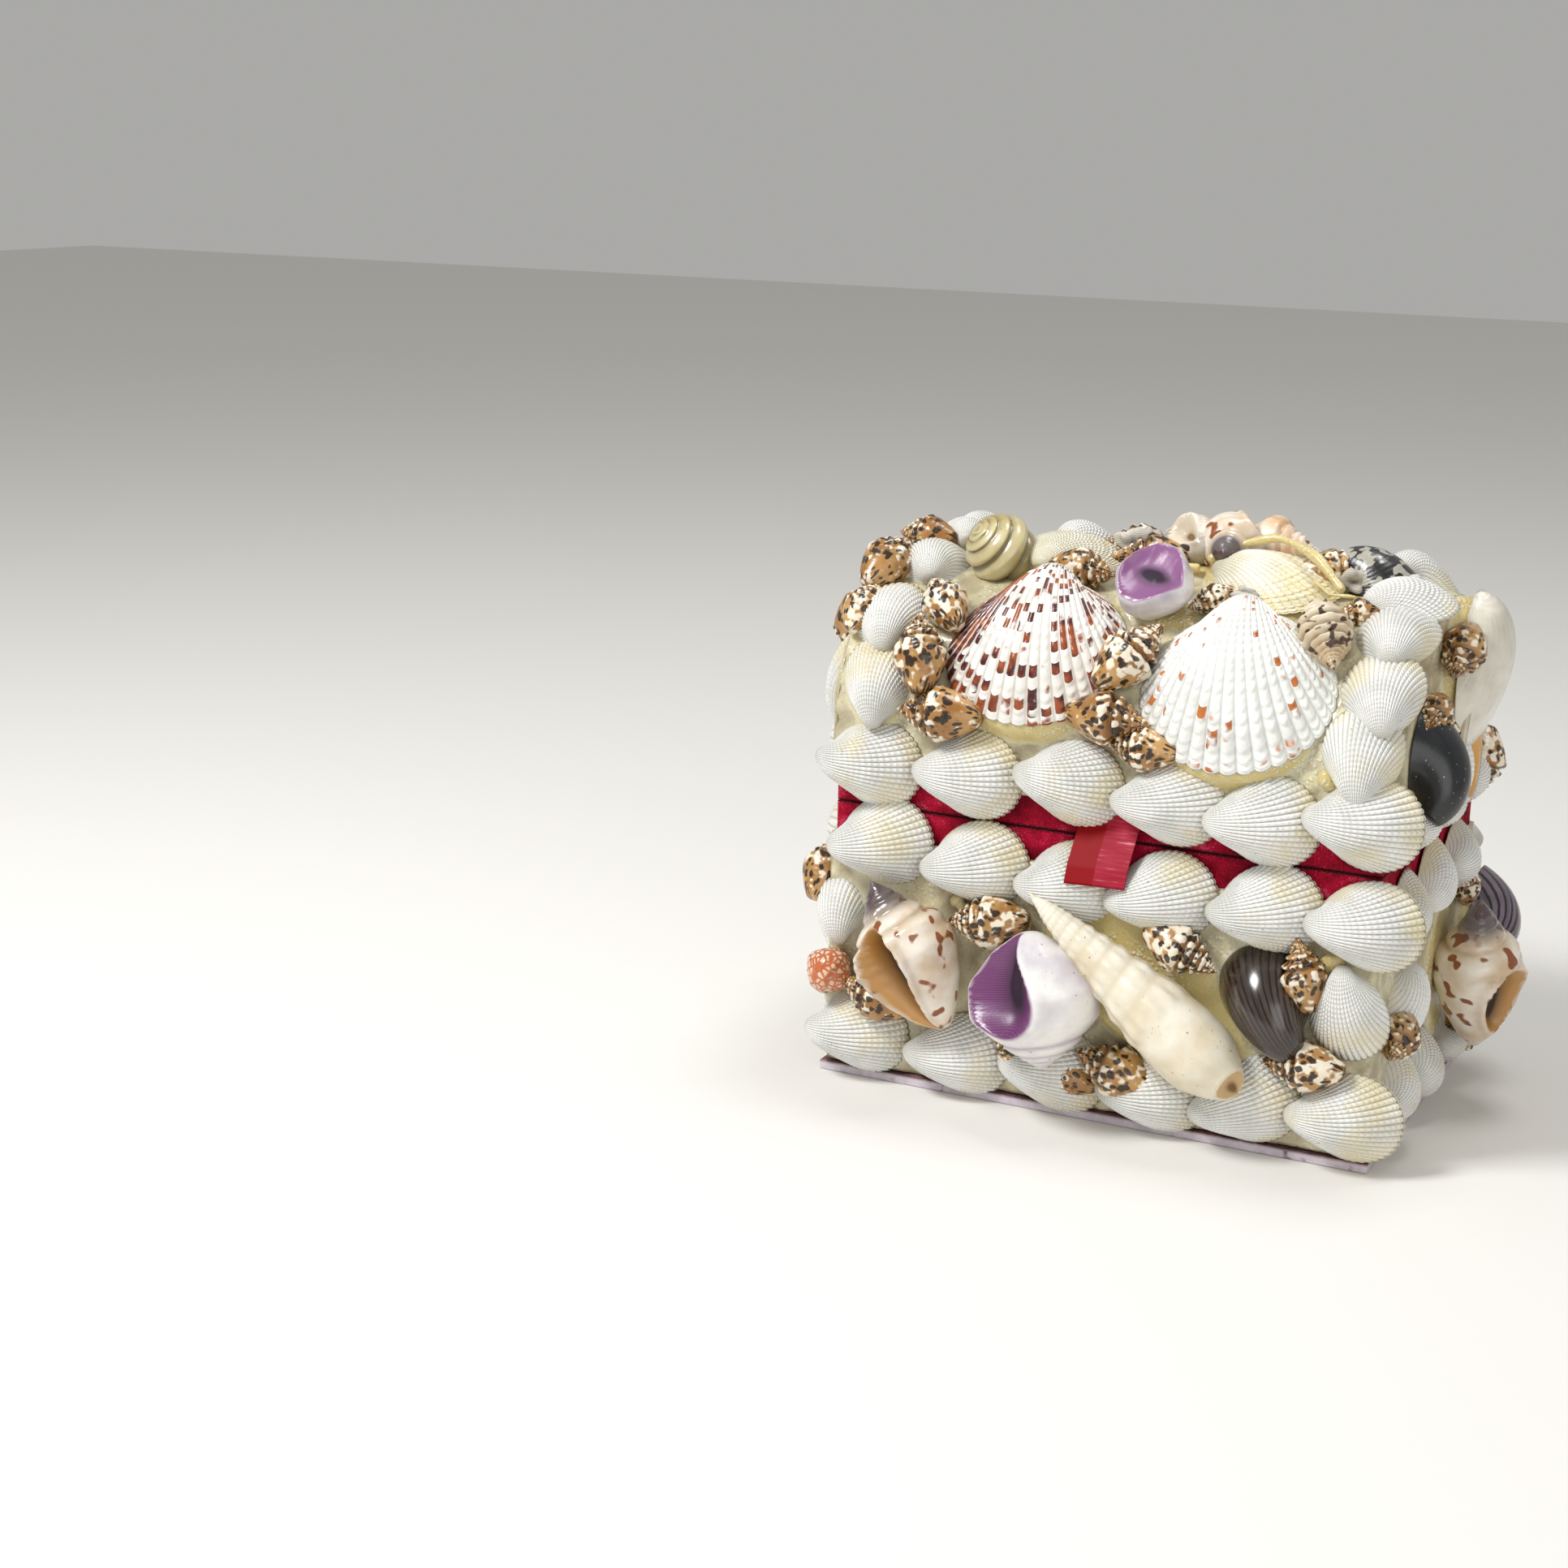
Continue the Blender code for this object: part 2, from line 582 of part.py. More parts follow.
DOVES_LID_RIGHT = ((-60, 62, 0.8, 20), (-52, 52, 0.9, 0), (60, 22, 1.0, 60), (-15, 82, 1.0, 30))
DOVES_BASE_BACK = ((-88, 50, 1.0, 70), (0, 50, 1.0, 110), (88, 51, 1.0, 80))
DOVES_LID_BACK = (
    (-62, 131, 1.0, 10),
    (-20, 131, 1.0, 170),
    (17, 131, 1.0, 15),
    (62, 131, 1.0, 160),
    (-18, 101, 1.0, 10),
)

COCKLES_RIGHT_BASE = (
    (-62, 83, 8),
    (-8, 86, 20),
    (50, 84, 0),
    (-60, 47, -100),
    (-55, 20, 10),
    (0, 16, 5),
    (60, 17, 0),
)
COCKLES_RIGHT_LID = ((-55, 18, 0), (0, 17, 5), (55, 18, 0), (5, 34, 70))


def even_row(count, up, turn, span=86):
    """Places of cockles set evenly across a face, nodding to and fro by turns."""
    step = 2 * span / (count - 1)
    return tuple((-span + step * index, up, turn + 4 * (-1) ** index) for index in range(count))


def cockle_list(kind, face, length, rows):
    """Cockles of one size on a face, from rows of across, up and turn."""
    return [(kind, face, across, up, length, turn) for row in rows for across, up, turn in row]


def dove_list(face, doves, kind="dove"):
    """Doves on a face, from rows of across, up, share of their length and turn."""
    return [(kind, face, across, up, share * DOVE, turn) for across, up, share, turn in doves]


def small_shells():
    """The face and the small shells of each piece that small shells are one with."""
    base_left = (even_row(3, 84, 3, 66), ((70, 50, -95), (-14, 50, 4)), even_row(3, 18, 3, 66))
    base_back = (even_row(5, 83, 3, 82), even_row(4, 50, 183, 62), even_row(5, 17, 3, 82))
    lid_left = (even_row(3, 20, 3, 66), ((66, 52, 92), (-36, 54, 95)))
    lid_back = (even_row(5, 112, 84, 82), even_row(5, 150, 84, 82))
    back_rim = (even_row(5, 62, 3, 82),)
    return {
        "base_front_shells": (
            "base_front",
            dove_list("base_front", DOVES_BASE_FRONT),
        ),
        "base_right_shells": (
            "base_right",
            cockle_list("cockle", "base_right", SMALL_COCKLE, [COCKLES_RIGHT_BASE])
            + dove_list("base_right", DOVES_BASE_RIGHT),
        ),
        "base_left_shells": (
            "base_left",
            cockle_list("plain_cockle", "base_left", LARGE_COCKLE, base_left)
            + dove_list("base_left", DOVES_BASE_LEFT, "plain_dove"),
        ),
        "base_back_shells": (
            "base_back",
            cockle_list("plain_cockle", "base_back", LARGE_COCKLE, base_back)
            + dove_list("base_back", DOVES_BASE_BACK, "plain_dove"),
        ),
        "lid_front_shells": (
            "vault",
            dove_list("vault", DOVES_LID_FRONT),
        ),
        "lid_right_shells": (
            "gable_right",
            cockle_list("cockle", "gable_right", SMALL_COCKLE, [COCKLES_RIGHT_LID])
            + dove_list("gable_right", DOVES_LID_RIGHT),
        ),
        "lid_left_shells": (
            "gable_left",
            cockle_list("plain_cockle", "gable_left", LARGE_COCKLE, lid_left)
            + dove_list("gable_left", DOVES_LID_LEFT, "plain_dove"),
        ),
        "lid_back_shells": (
            "vault",
            cockle_list("plain_cockle", "rim_back", LARGE_COCKLE, back_rim)
            + cockle_list("plain_cockle", "vault", LARGE_COCKLE, lid_back)
            + dove_list("vault", DOVES_LID_BACK, "plain_dove"),
        ),
    }


def core(offset):
    """The whole closed box as one block, set off outwards, to cut shells to its faces."""
    end = BOX_WIDTH / 2 + offset
    return bpy.data.objects.new("core", profile_solid("core", offset, -COCKLE, -end, end))


def make_large_shells(parts, kinds, finishes, board):
    """The single shells, each cut to the box and to the ones set before it."""
    made = [board]
    jobs = list(LARGE_SHELLS)
    rows = (
        ("base_upper_cockle", "base_front", BASE_UPPER_ROW, COCKLE),
        ("lid_rim_cockle", "rim_front", LID_RIM_ROW, COCKLE),
        ("base_lower_cockle", "base_front", BASE_LOWER_ROW, COCKLE),
        ("lid_left_cockle", "vault", LID_LEFT_COLUMN, SMALL_COCKLE),
        ("lid_right_cockle", "vault", LID_RIGHT_COLUMN, SMALL_COCKLE),
    )
    for stem, face, places, length in rows:
        for index, (across, up, turn) in enumerate(places):
            jobs.append((f"{stem}_{index + 1}", "cockle", face, across, up, length, turn, 0, "white_shell"))
    jobs.append(("base_side_cockle", "cockle", "base_front", 93, 53, SMALL_COCKLE, -82, 0, "white_shell"))
    for name, kind, face, across, up, length, turn, lift, finish in jobs:
        flat_seat = seat_height(kind, face) == SEAT
        place = place_on(face, across, up, turn, lift + seat_height(kind, face))
        shell = make_shell(name, kinds, kind, length, place, parts)
        if name in LIPS:
            add_egg(shell, length, LIPS[name], "UNION")
        if name in MOUTHS:
            add_egg(shell, length, MOUTHS[name], "DIFFERENCE")
        clear_of(shell, made, None if flat_seat else core(SEAT))
        keep_largest_body(shell)
        shell.data.materials.clear()
        shell.data.materials.append(finishes[finish])
        made.append(shell)
    return made


def flat_bed(name, face):
    """Glue on a flat face, short of the bare cloth by the seam."""
    side, out, half_span, distance, low, height = FACES[face]
    bottom = low + BOARD_THICKNESS + 2 * GAP
    top = low + height - GLUE_BARE_SEAM
    size = (2 * half_span, GLUE_THICKNESS, top - bottom)
    bed = block_mesh(name, size, (0, -GLUE_THICKNESS / 2, 0))
    centre = out * (distance + GAP)
    centre.z = (bottom + top) / 2
    place = Matrix((side, -out, Vector((0, 0, 1)))).transposed().to_4x4()
    place.translation = centre
    return bed, place


def gable_bed(name, face):
    """Glue on an end of the lid, cut to the end's own outline."""
    hand = FACES[face][1].x
    start = (BOX_WIDTH / 2 + GAP) * hand
    end = (BOX_WIDTH / 2 + BED_TOP) * hand
    bottom = SEAM_HEIGHT + GLUE_BARE_SEAM
    return profile_solid(name, -GAP, bottom, min(start, end), max(start, end)), Matrix()


def vault_bed(name, first, last):
    """Glue over half the vault and its rim, as an open strip that is given its thickness."""
    outer, rise, spring = BOX_DEPTH / 2 + GAP, LID_RISE + GAP, SEAM_HEIGHT + LID_RIM
    bm = bmesh.new()
    rows = []
    section = []
    for step in range(first, last + 1):
        angle = math.pi * step / VAULT_STEPS
        y, z = -outer * math.cos(angle), spring + rise * math.sin(angle)
        if 2 * step == VAULT_STEPS:
            y += GAP / 2 if first == step else -GAP / 2
        section.append((y, z))
    foot = SEAM_HEIGHT + GLUE_BARE_SEAM
    if first == 0:
        section.insert(0, (-outer, foot))
    else:
        section.append((outer, foot))
    for y, z in section:
        rows.append([bm.verts.new((end * BOX_WIDTH / 2, y, z)) for end in (-1, 1)])
    for lower, upper in zip(rows, rows[1:]):
        bm.faces.new((lower[0], lower[1], upper[1], upper[0]))
    strip = add_object(name, mesh_from_bmesh(name, bm), bpy.context.scene.collection)
    thick = strip.modifiers.new("thickness", "SOLIDIFY")
    thick.thickness = GLUE_THICKNESS
    thick.offset = 1
    bake(strip)
    mesh = strip.data
    bpy.data.objects.remove(strip)
    return mesh, Matrix()


def make_bed(name, face):
    """The glue bed under the small shells of a face."""
    if face == "vault":
        ridge = VAULT_STEPS // 2
        return vault_bed(name, 0, ridge) if "front" in name else vault_bed(name, ridge, VAULT_STEPS)
    if face.startswith("gable"):
        return gable_bed(name, face)
    return flat_bed(name, face)


def sector(face):
    """The room that the shells of a face may fill, short of its corners and of the seam."""
    on_lid = face == "vault" or face.startswith("gable")
    reach = BOX_WIDTH / 2 + OYSTER
    if face.startswith("gable"):
        return profile_solid("sector", 0, SEAM_HEIGHT + GAP / 2, -reach, reach)
    low = SEAM_HEIGHT + GAP / 2 if on_lid else BOARD_THICKNESS + GAP
    high = SEAM_HEIGHT + 2 * (LID_RIM + LID_RISE) if on_lid else SEAM_HEIGHT - GAP / 2
    if on_lid:
        return block_mesh("sector", (2 * reach, 2 * reach, high - low), (0, 0, (low + high) / 2))
    side, out, half_span, distance = FACES[face][:4]
    bm = bmesh.new()
    bmesh.ops.create_cube(bm, size=1)
    for vert in bm.verts:
        depth = OYSTER if vert.co.y > 0 else -WALL
        spread = half_span - GAP / 2 + depth
        hand = 1 if vert.co.x > 0 else -1
        level = low if vert.co.z < 0 else high
        vert.co = side * (hand * spread) + out * (distance + depth)
        vert.co.z = level
    bmesh.ops.recalc_face_normals(bm, faces=bm.faces)
    return mesh_from_bmesh("sector", bm)


def make_loose_shell(kinds, kind, length, place):
    """A small shell that is about to be joined to its bed."""
    mesh = kinds[kind].copy()
    mesh.transform(Matrix.Scale(length, 4))
    loose = bpy.data.objects.new("loose_shell", mesh)
    loose.matrix_world = place
    return loose


def make_pad(half_breadth, place, lift):
    """Glue that fills the room between the bed and a shell that stands off it."""
    depth = lift + GLUE_THICKNESS
    foot, top = PAD_FOOT * half_breadth, PAD_TOP * half_breadth
    bm = bmesh.new()
    bmesh.ops.create_cone(bm, cap_ends=True, segments=8, radius1=foot, radius2=top, depth=depth)
    bmesh.ops.translate(bm, verts=bm.verts, vec=(0, 0, -depth / 2))
    pad = bpy.data.objects.new("pad", mesh_from_bmesh("pad", bm))
    pad.matrix_world = place
    return pad


def pads_of(name, bed_face, kinds):
    """The pads of a bed: one under each single shell of its face that stands off it."""
    pads = []
    for _, kind, face, across, up, length, turn, lift, _ in LARGE_SHELLS:
        far_half = face == "vault" and up > 90
        if face != bed_face or lift < PAD_LEAST or far_half != (name == "lid_back_shells"):
            continue
        place = place_on(face, across, up, turn, lift + seat_height(kind, face))
        half_breadth = length * max(vert.co.y for vert in kinds[kind].vertices)
        pads.append(make_pad(half_breadth, place, lift))
    return pads


def make_small_shells(parts, kinds, finishes, neighbours):
    """Bed and small shells of each face, joined, and cut clear of the single shells."""
    for name, (bed_face, shells) in small_shells().items():
        mesh, place = make_bed(name, bed_face)
        piece = add_object(name, mesh, parts, place)
        lumps = []
        for kind, face, across, up, length, turn in shells:
            spot = place_on(face, across, up, turn, BED_TOP - SINK)
            lumps.append(make_loose_shell(kinds, kind, length, spot))
        combine(piece, "UNION", lumps + pads_of(name, bed_face, kinds))
        combine(piece, "INTERSECT", [bpy.data.objects.new("sector", sector(bed_face))])
        clear_of(piece, neighbours, core(GAP / 2))
        keep_largest_body(piece)
        piece.data.materials.clear()
        piece.data.materials.append(finishes["glue_and_small_shells"])


def main():
    """Build the box, its single shells, the ribbon and the beds of small shells."""
    clear_scene()
    parts = new_collection("shell_box")
    finishes = {name: make_finish(name) for name in FINISHES}
    kinds = shell_kinds()
    board = make_carcass(parts, finishes)
    singles = make_large_shells(parts, kinds, finishes, board)
    ribbon = make_ribbon(parts, finishes, singles)
    make_small_shells(parts, kinds, finishes, singles + [ribbon])


main()
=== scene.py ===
"""Looks of a shell box: a keepsake box with a domed lid, crusted with sea shells set in glue.

Every shell is a surface worked out with numpy from the way such a shell grows. Each lies
at its own place on a face of the box, in a bed of set glue that rises to meet its edge.
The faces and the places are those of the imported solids, in metres.
"""

import json
import logging
import math
from dataclasses import dataclass, field, replace
from enum import Enum
from functools import cache, cached_property

import bpy
import numpy as np
from mathutils import Matrix, Vector

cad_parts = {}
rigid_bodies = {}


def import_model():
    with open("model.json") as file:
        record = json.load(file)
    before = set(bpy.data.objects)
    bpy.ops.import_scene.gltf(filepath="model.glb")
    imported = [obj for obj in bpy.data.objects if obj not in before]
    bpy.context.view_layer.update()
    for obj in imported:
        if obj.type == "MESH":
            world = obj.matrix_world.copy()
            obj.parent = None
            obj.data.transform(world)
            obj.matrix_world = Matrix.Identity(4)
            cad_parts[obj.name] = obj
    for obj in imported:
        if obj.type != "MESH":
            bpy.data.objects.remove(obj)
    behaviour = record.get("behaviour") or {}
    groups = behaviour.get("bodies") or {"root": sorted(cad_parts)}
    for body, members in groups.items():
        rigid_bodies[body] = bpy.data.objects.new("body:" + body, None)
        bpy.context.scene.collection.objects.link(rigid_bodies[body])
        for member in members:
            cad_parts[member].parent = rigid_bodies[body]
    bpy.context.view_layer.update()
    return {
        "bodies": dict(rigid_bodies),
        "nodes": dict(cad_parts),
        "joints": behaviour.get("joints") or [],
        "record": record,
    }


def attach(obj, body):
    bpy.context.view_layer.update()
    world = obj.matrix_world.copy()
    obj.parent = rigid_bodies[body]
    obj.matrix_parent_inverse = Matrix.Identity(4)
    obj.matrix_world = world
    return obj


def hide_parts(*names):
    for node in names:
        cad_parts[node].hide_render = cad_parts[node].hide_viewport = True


LOG = logging.getLogger("shell_box")
MM = 0.001
Array = np.ndarray
Socket = bpy.types.NodeSocket

# Carcass, as in the solids
BOX_WIDTH = 155 * MM
BOX_DEPTH = 102 * MM
SEAM_HEIGHT = 80 * MM
LID_RIM = 22 * MM
LID_RISE = 42 * MM
SPRING_HEIGHT = SEAM_HEIGHT + LID_RIM
# Heights over a face: the underside of the glue, its top, and the seats of the single shells
GAP = 0.3 * MM
BED_TOP = 1.3 * MM
SEAT = 1.8 * MM
SINK = 0.3 * MM
# Height of the bare cloth on each side of the seam
BARE_SEAM = 9 * MM

# Lengths of the shells
COCKLE = 29 * MM
SMALL_COCKLE = 25 * MM
LARGE_COCKLE = 30 * MM
DOVE = 22 * MM
SCALLOP = 46 * MM
NERITE = 27 * MM
WHELK = 19 * MM
CERITH = 77 * MM
CONCH = 46 * MM
VIOLET = 39 * MM
MOON = 25 * MM
COILED = 21 * MM
NETTED = 15 * MM
OYSTER = 46 * MM
# Breadth of the seat of a snail in the glue, as a share of its length
SNAIL_BREADTH = 0.5


class Face(Enum):
    """A side of the box that carries shells: its across and outward directions, its half
    width, its distance from the middle, and the height that it starts at and has."""

    BASE_FRONT = ((1, 0, 0), (0, -1, 0), BOX_WIDTH / 2, BOX_DEPTH / 2, 0.0, SEAM_HEIGHT)
    BASE_BACK = ((-1, 0, 0), (0, 1, 0), BOX_WIDTH / 2, BOX_DEPTH / 2, 0.0, SEAM_HEIGHT)
    BASE_RIGHT = ((0, 1, 0), (1, 0, 0), BOX_DEPTH / 2, BOX_WIDTH / 2, 0.0, SEAM_HEIGHT)
    BASE_LEFT = ((0, -1, 0), (-1, 0, 0), BOX_DEPTH / 2, BOX_WIDTH / 2, 0.0, SEAM_HEIGHT)
    RIM_FRONT = ((1, 0, 0), (0, -1, 0), BOX_WIDTH / 2, BOX_DEPTH / 2, SEAM_HEIGHT, LID_RIM)
    RIM_BACK = ((-1, 0, 0), (0, 1, 0), BOX_WIDTH / 2, BOX_DEPTH / 2, SEAM_HEIGHT, LID_RIM)
    GABLE_RIGHT = ((0, 1, 0), (1, 0, 0), BOX_DEPTH / 2, BOX_WIDTH / 2, SEAM_HEIGHT, LID_RIM + LID_RISE)
    GABLE_LEFT = ((0, -1, 0), (-1, 0, 0), BOX_DEPTH / 2, BOX_WIDTH / 2, SEAM_HEIGHT, LID_RIM + LID_RISE)
    VAULT = ((1, 0, 0), (0, 0, 1), BOX_WIDTH / 2, 0.0, SPRING_HEIGHT, LID_RISE)

    @property
    def across_way(self) -> Array:
        """Direction along the face, to the right as seen from outside."""
        return np.array(self.value[0], float)

    @property
    def out_way(self) -> Array:
        """Direction out of the face."""
        return np.array(self.value[1], float)


class Slot(Enum):
    """Material slots of the record."""

    WHITE = "white_shell"
    CREAM = "cream_shell"
    PURPLE = "purple_shell"
    DARK = "dark_shell"
    GLUE = "glue_and_small_shells"
    RIBBON = "ribbon"


@dataclass(frozen=True)
class Place:
    """Where a shell lies on a face.

    Across is a share of the half width in percent. Up is a share of the face's height in
    percent, or on the vault the angle in degrees from the front springing. Turn is the
    way from beak or tip to the far end: 0 is rightwards, 90 upwards. Lift is in metres.
    Tilt raises the beak or tip off the face, in degrees.
    """

    face: Face
    across: float
    up: float
    turn: float
    lift: float = BED_TOP - SINK
    tilt: float = 0.0

    def matrix(self) -> Array:
        """Frame of the shell, as the columns along, over, out and foot of a 4 x 4 array."""
        half, distance, low, height = self.face.value[2:]
        if self.face is Face.VAULT:
            angle = math.radians(self.up)
            depth = BOX_DEPTH / 2
            foot = np.array([
                self.across / 100 * half,
                -depth * math.cos(angle),
                SPRING_HEIGHT + LID_RISE * math.sin(angle),
            ])
            out_way = np.array([0, -math.cos(angle) / depth, math.sin(angle) / LID_RISE])
            out_way /= np.linalg.norm(out_way)
        else:
            out_way = self.face.out_way
            foot = self.face.across_way * (self.across / 100 * half) + out_way * distance
            foot[2] = low + self.up / 100 * height
        side_way = self.face.across_way
        rise_way = np.cross(out_way, side_way)
        angle = math.radians(self.turn)
        along = side_way * math.cos(angle) + rise_way * math.sin(angle)
        tilt = math.radians(self.tilt)
        frame = np.eye(4)
        frame[:3, 0] = along * math.cos(tilt) - out_way * math.sin(tilt)
        frame[:3, 1] = np.cross(out_way, along)
        frame[:3, 2] = along * math.sin(tilt) + out_way * math.cos(tilt)
        frame[:3, 3] = foot + out_way * self.lift
        return frame


def smooth_step(value: Array, low: float, high: float) -> Array:
    """Ease from 0 at low to 1 at high: 3 t squared less 2 t cubed.

    Args:
        value: numbers to ease.
        low: where the result is 0.
        high: where the result is 1.

    Returns:
        The eased numbers.
    """
    t = np.clip((value - low) / (high - low), 0, 1)
    return t * t * (3 - 2 * t)


def bell(value: Array, middle: float, width: float) -> Array:
    """A bell curve: e to the minus square of the distance from the middle in widths."""
    return np.exp(-(((value - middle) / width) ** 2))


def ripple(points: Array, size: float, seed: int) -> Array:
    """Smooth pseudo-random unevenness from -1 to 1: a sum of sines along fixed odd ways.

    Args:
        points: places, one row each, in metres.
        size: rough width of a bump in metres.
        seed: picks the ways and phases.

    Returns:
        One number per point.
    """
    chance = np.random.default_rng(seed)
    ways = chance.normal(size=(7, 3))
    ways /= np.linalg.norm(ways, axis=1, keepdims=True)
    pitch = math.tau / (2 * size) * chance.uniform(0.6, 1.9, size=7)
    phase = chance.uniform(0, math.tau, size=7)
    return np.sin(points @ (ways * pitch[:, None]).T + phase).mean(axis=-1) * 1.9


@dataclass
class Skin:
    """A surface in the making: points, faces with their surface coordinates, and marks."""

    points: Array
    quads: Array
    quad_uv: Array
    marks: dict[str, Array]
    tris: Array = field(default_factory=lambda: np.zeros((0, 3), int))
    tri_uv: Array = field(default_factory=lambda: np.zeros((0, 3, 2)))

    def placed(self, frame: Array) -> "Skin":
        """The same surface carried into a frame.

        Args:
            frame: 4 x 4 array whose columns are the frame's ways and its foot.

        Returns:
            A new skin.
        """
        return replace(self, points=self.points @ frame[:3, :3].T + frame[:3, 3])

    def outward(self) -> "Skin":
        """Turn the faces outwards: the sum of signed corner volumes has to be positive."""
        halves = np.vstack([self.quads[:, :3], self.quads[:, [0, 2, 3]], self.tris])
        first, second, third = (self.points[halves[:, i]] for i in range(3))
        if np.einsum("ij,ij->", first, np.cross(second, third)) >= 0:
            return self
        return replace(
            self,
            quads=self.quads[:, ::-1],
            quad_uv=self.quad_uv[:, ::-1],
            tris=self.tris[:, ::-1],
            tri_uv=self.tri_uv[:, ::-1],
        )


def grid_points(x: Array, y: Array, z: Array) -> Array:
    """Points of a grid from three arrays that are spread to the same rows and columns."""
    return np.stack(np.broadcast_arrays(x, y, z), axis=-1)


def shell_marks(shape: tuple[int, int], hue: float, rib: Array | float, mouth: Array | float = 0.0) -> dict[str, Array]:
    """The marks of a shell, each spread over its grid."""
    return {name: np.broadcast_to(mark, shape) for name, mark in (("rib", rib), ("mouth", mouth), ("hue", hue))}


def closed_rings(rings: Array, marks: dict[str, Array]) -> Skin:
    """Close a grid of rings: each ring joins its own ends, the first and last are a point.

    Args:
        rings: array of rows, columns and 3 coordinates.
        marks: arrays of rows and columns, by name.

    Returns:
        The closed surface, its faces outwards. U runs round the ring and v along the rows.
    """
    rows, cols = rings.shape[:2]
    points = np.vstack([rings[0].mean(0), rings[1:-1].reshape(-1, 3), rings[-1].mean(0)])
    flat_marks = {
        name: np.concatenate([[grid[0].mean()], grid[1:-1].ravel(), [grid[-1].mean()]])
        for name, grid in marks.items()
    }
    index = 1 + np.arange((rows - 2) * cols).reshape(rows - 2, cols)
    beside = np.roll(index, -1, axis=1)
    quads = np.stack([index[:-1], index[1:], beside[1:], beside[:-1]], axis=-1).reshape(-1, 4)
    u_here = np.arange(cols) / cols
    u_next = u_here + 1 / cols
    v_rows = np.arange(rows) / (rows - 1)
    u_quad = np.stack([u_here, u_here, u_next, u_next], axis=-1)
    v_quad = np.stack([v_rows[1:-2], v_rows[2:-1], v_rows[2:-1], v_rows[1:-2]], axis=-1)
    quad_uv = np.empty((rows - 3, cols, 4, 2))
    quad_uv[..., 0] = u_quad[None]
    quad_uv[..., 1] = v_quad[:, None]
    last = len(points) - 1
    first_fan = np.stack([np.zeros(cols, int), index[0], beside[0]], axis=-1)
    last_fan = np.stack([np.full(cols, last), beside[-1], index[-1]], axis=-1)
    u_mid = (u_here + u_next) / 2
    first_uv = np.stack([
        np.stack([u_mid, u_here, u_next], axis=-1),
        np.broadcast_to([v_rows[0], v_rows[1], v_rows[1]], (cols, 3)),
    ], axis=-1)
    last_uv = np.stack([
        np.stack([u_mid, u_next, u_here], axis=-1),
        np.broadcast_to([v_rows[-1], v_rows[-2], v_rows[-2]], (cols, 3)),
    ], axis=-1)
    fans, fan_uv = np.vstack([first_fan, last_fan]), np.vstack([first_uv, last_uv])
    return Skin(points, quads, quad_uv.reshape(-1, 4, 2), flat_marks, fans, fan_uv).outward()


def joined(skins: list[Skin]) -> Skin:
    """Gather several surfaces into one, each keeping its own points.

    Args:
        skins: surfaces that hold the same marks.

    Returns:
        One surface.
    """
    starts = np.cumsum([0] + [len(skin.points) for skin in skins[:-1]])
    return Skin(
        np.vstack([skin.points for skin in skins]),
        np.vstack([skin.quads + start for skin, start in zip(skins, starts)]),
        np.vstack([skin.quad_uv for skin in skins]),
        {name: np.concatenate([skin.marks[name] for skin in skins]) for name in skins[0].marks},
        np.vstack([skin.tris + start for skin, start in zip(skins, starts)]),
        np.vstack([skin.tri_uv for skin in skins]),
    )


def add_piece(name: str, node: str, skin: Skin, material: bpy.types.Material) -> bpy.types.Object:
    """Put a surface into the scene as a smooth mesh, in place of its solid.

    Args:
        name: name of the piece.
        node: the solid that it stands for.
        skin: the surface with its marks, in the box's frame.
        material: its material.

    Returns:
        The new object, at the origin.
    """
    mesh = bpy.data.meshes.new(name)
    mesh.vertices.add(len(skin.points))
    mesh.vertices.foreach_set("co", skin.points.astype(np.float32).ravel())
    corners = np.concatenate([skin.quads.ravel(), skin.tris.ravel()]).astype(np.int32)
    totals = np.concatenate([np.full(len(skin.quads), 4), np.full(len(skin.tris), 3)])
    mesh.loops.add(len(corners))
    mesh.loops.foreach_set("vertex_index", corners)
    mesh.polygons.add(len(totals))
    mesh.polygons.foreach_set("loop_start", (np.cumsum(totals) - totals).astype(np.int32))
    mesh.update(calc_edges=True)
    uv = np.concatenate([skin.quad_uv.reshape(-1), skin.tri_uv.reshape(-1)]).astype(np.float32)
    mesh.uv_layers.new(name="growth").data.foreach_set("uv", uv)
    for mark, values in skin.marks.items():
        mesh.attributes.new(mark, "FLOAT", "POINT").data.foreach_set("value", values.astype(np.float32))
    mesh.shade_smooth()
    mesh.materials.append(material)
    piece = bpy.data.objects.new(name, mesh)
    bpy.context.scene.collection.objects.link(piece)
    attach(piece, "root")
    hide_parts(node)
    LOG.info("%s: %d faces", name, len(totals))
    return piece


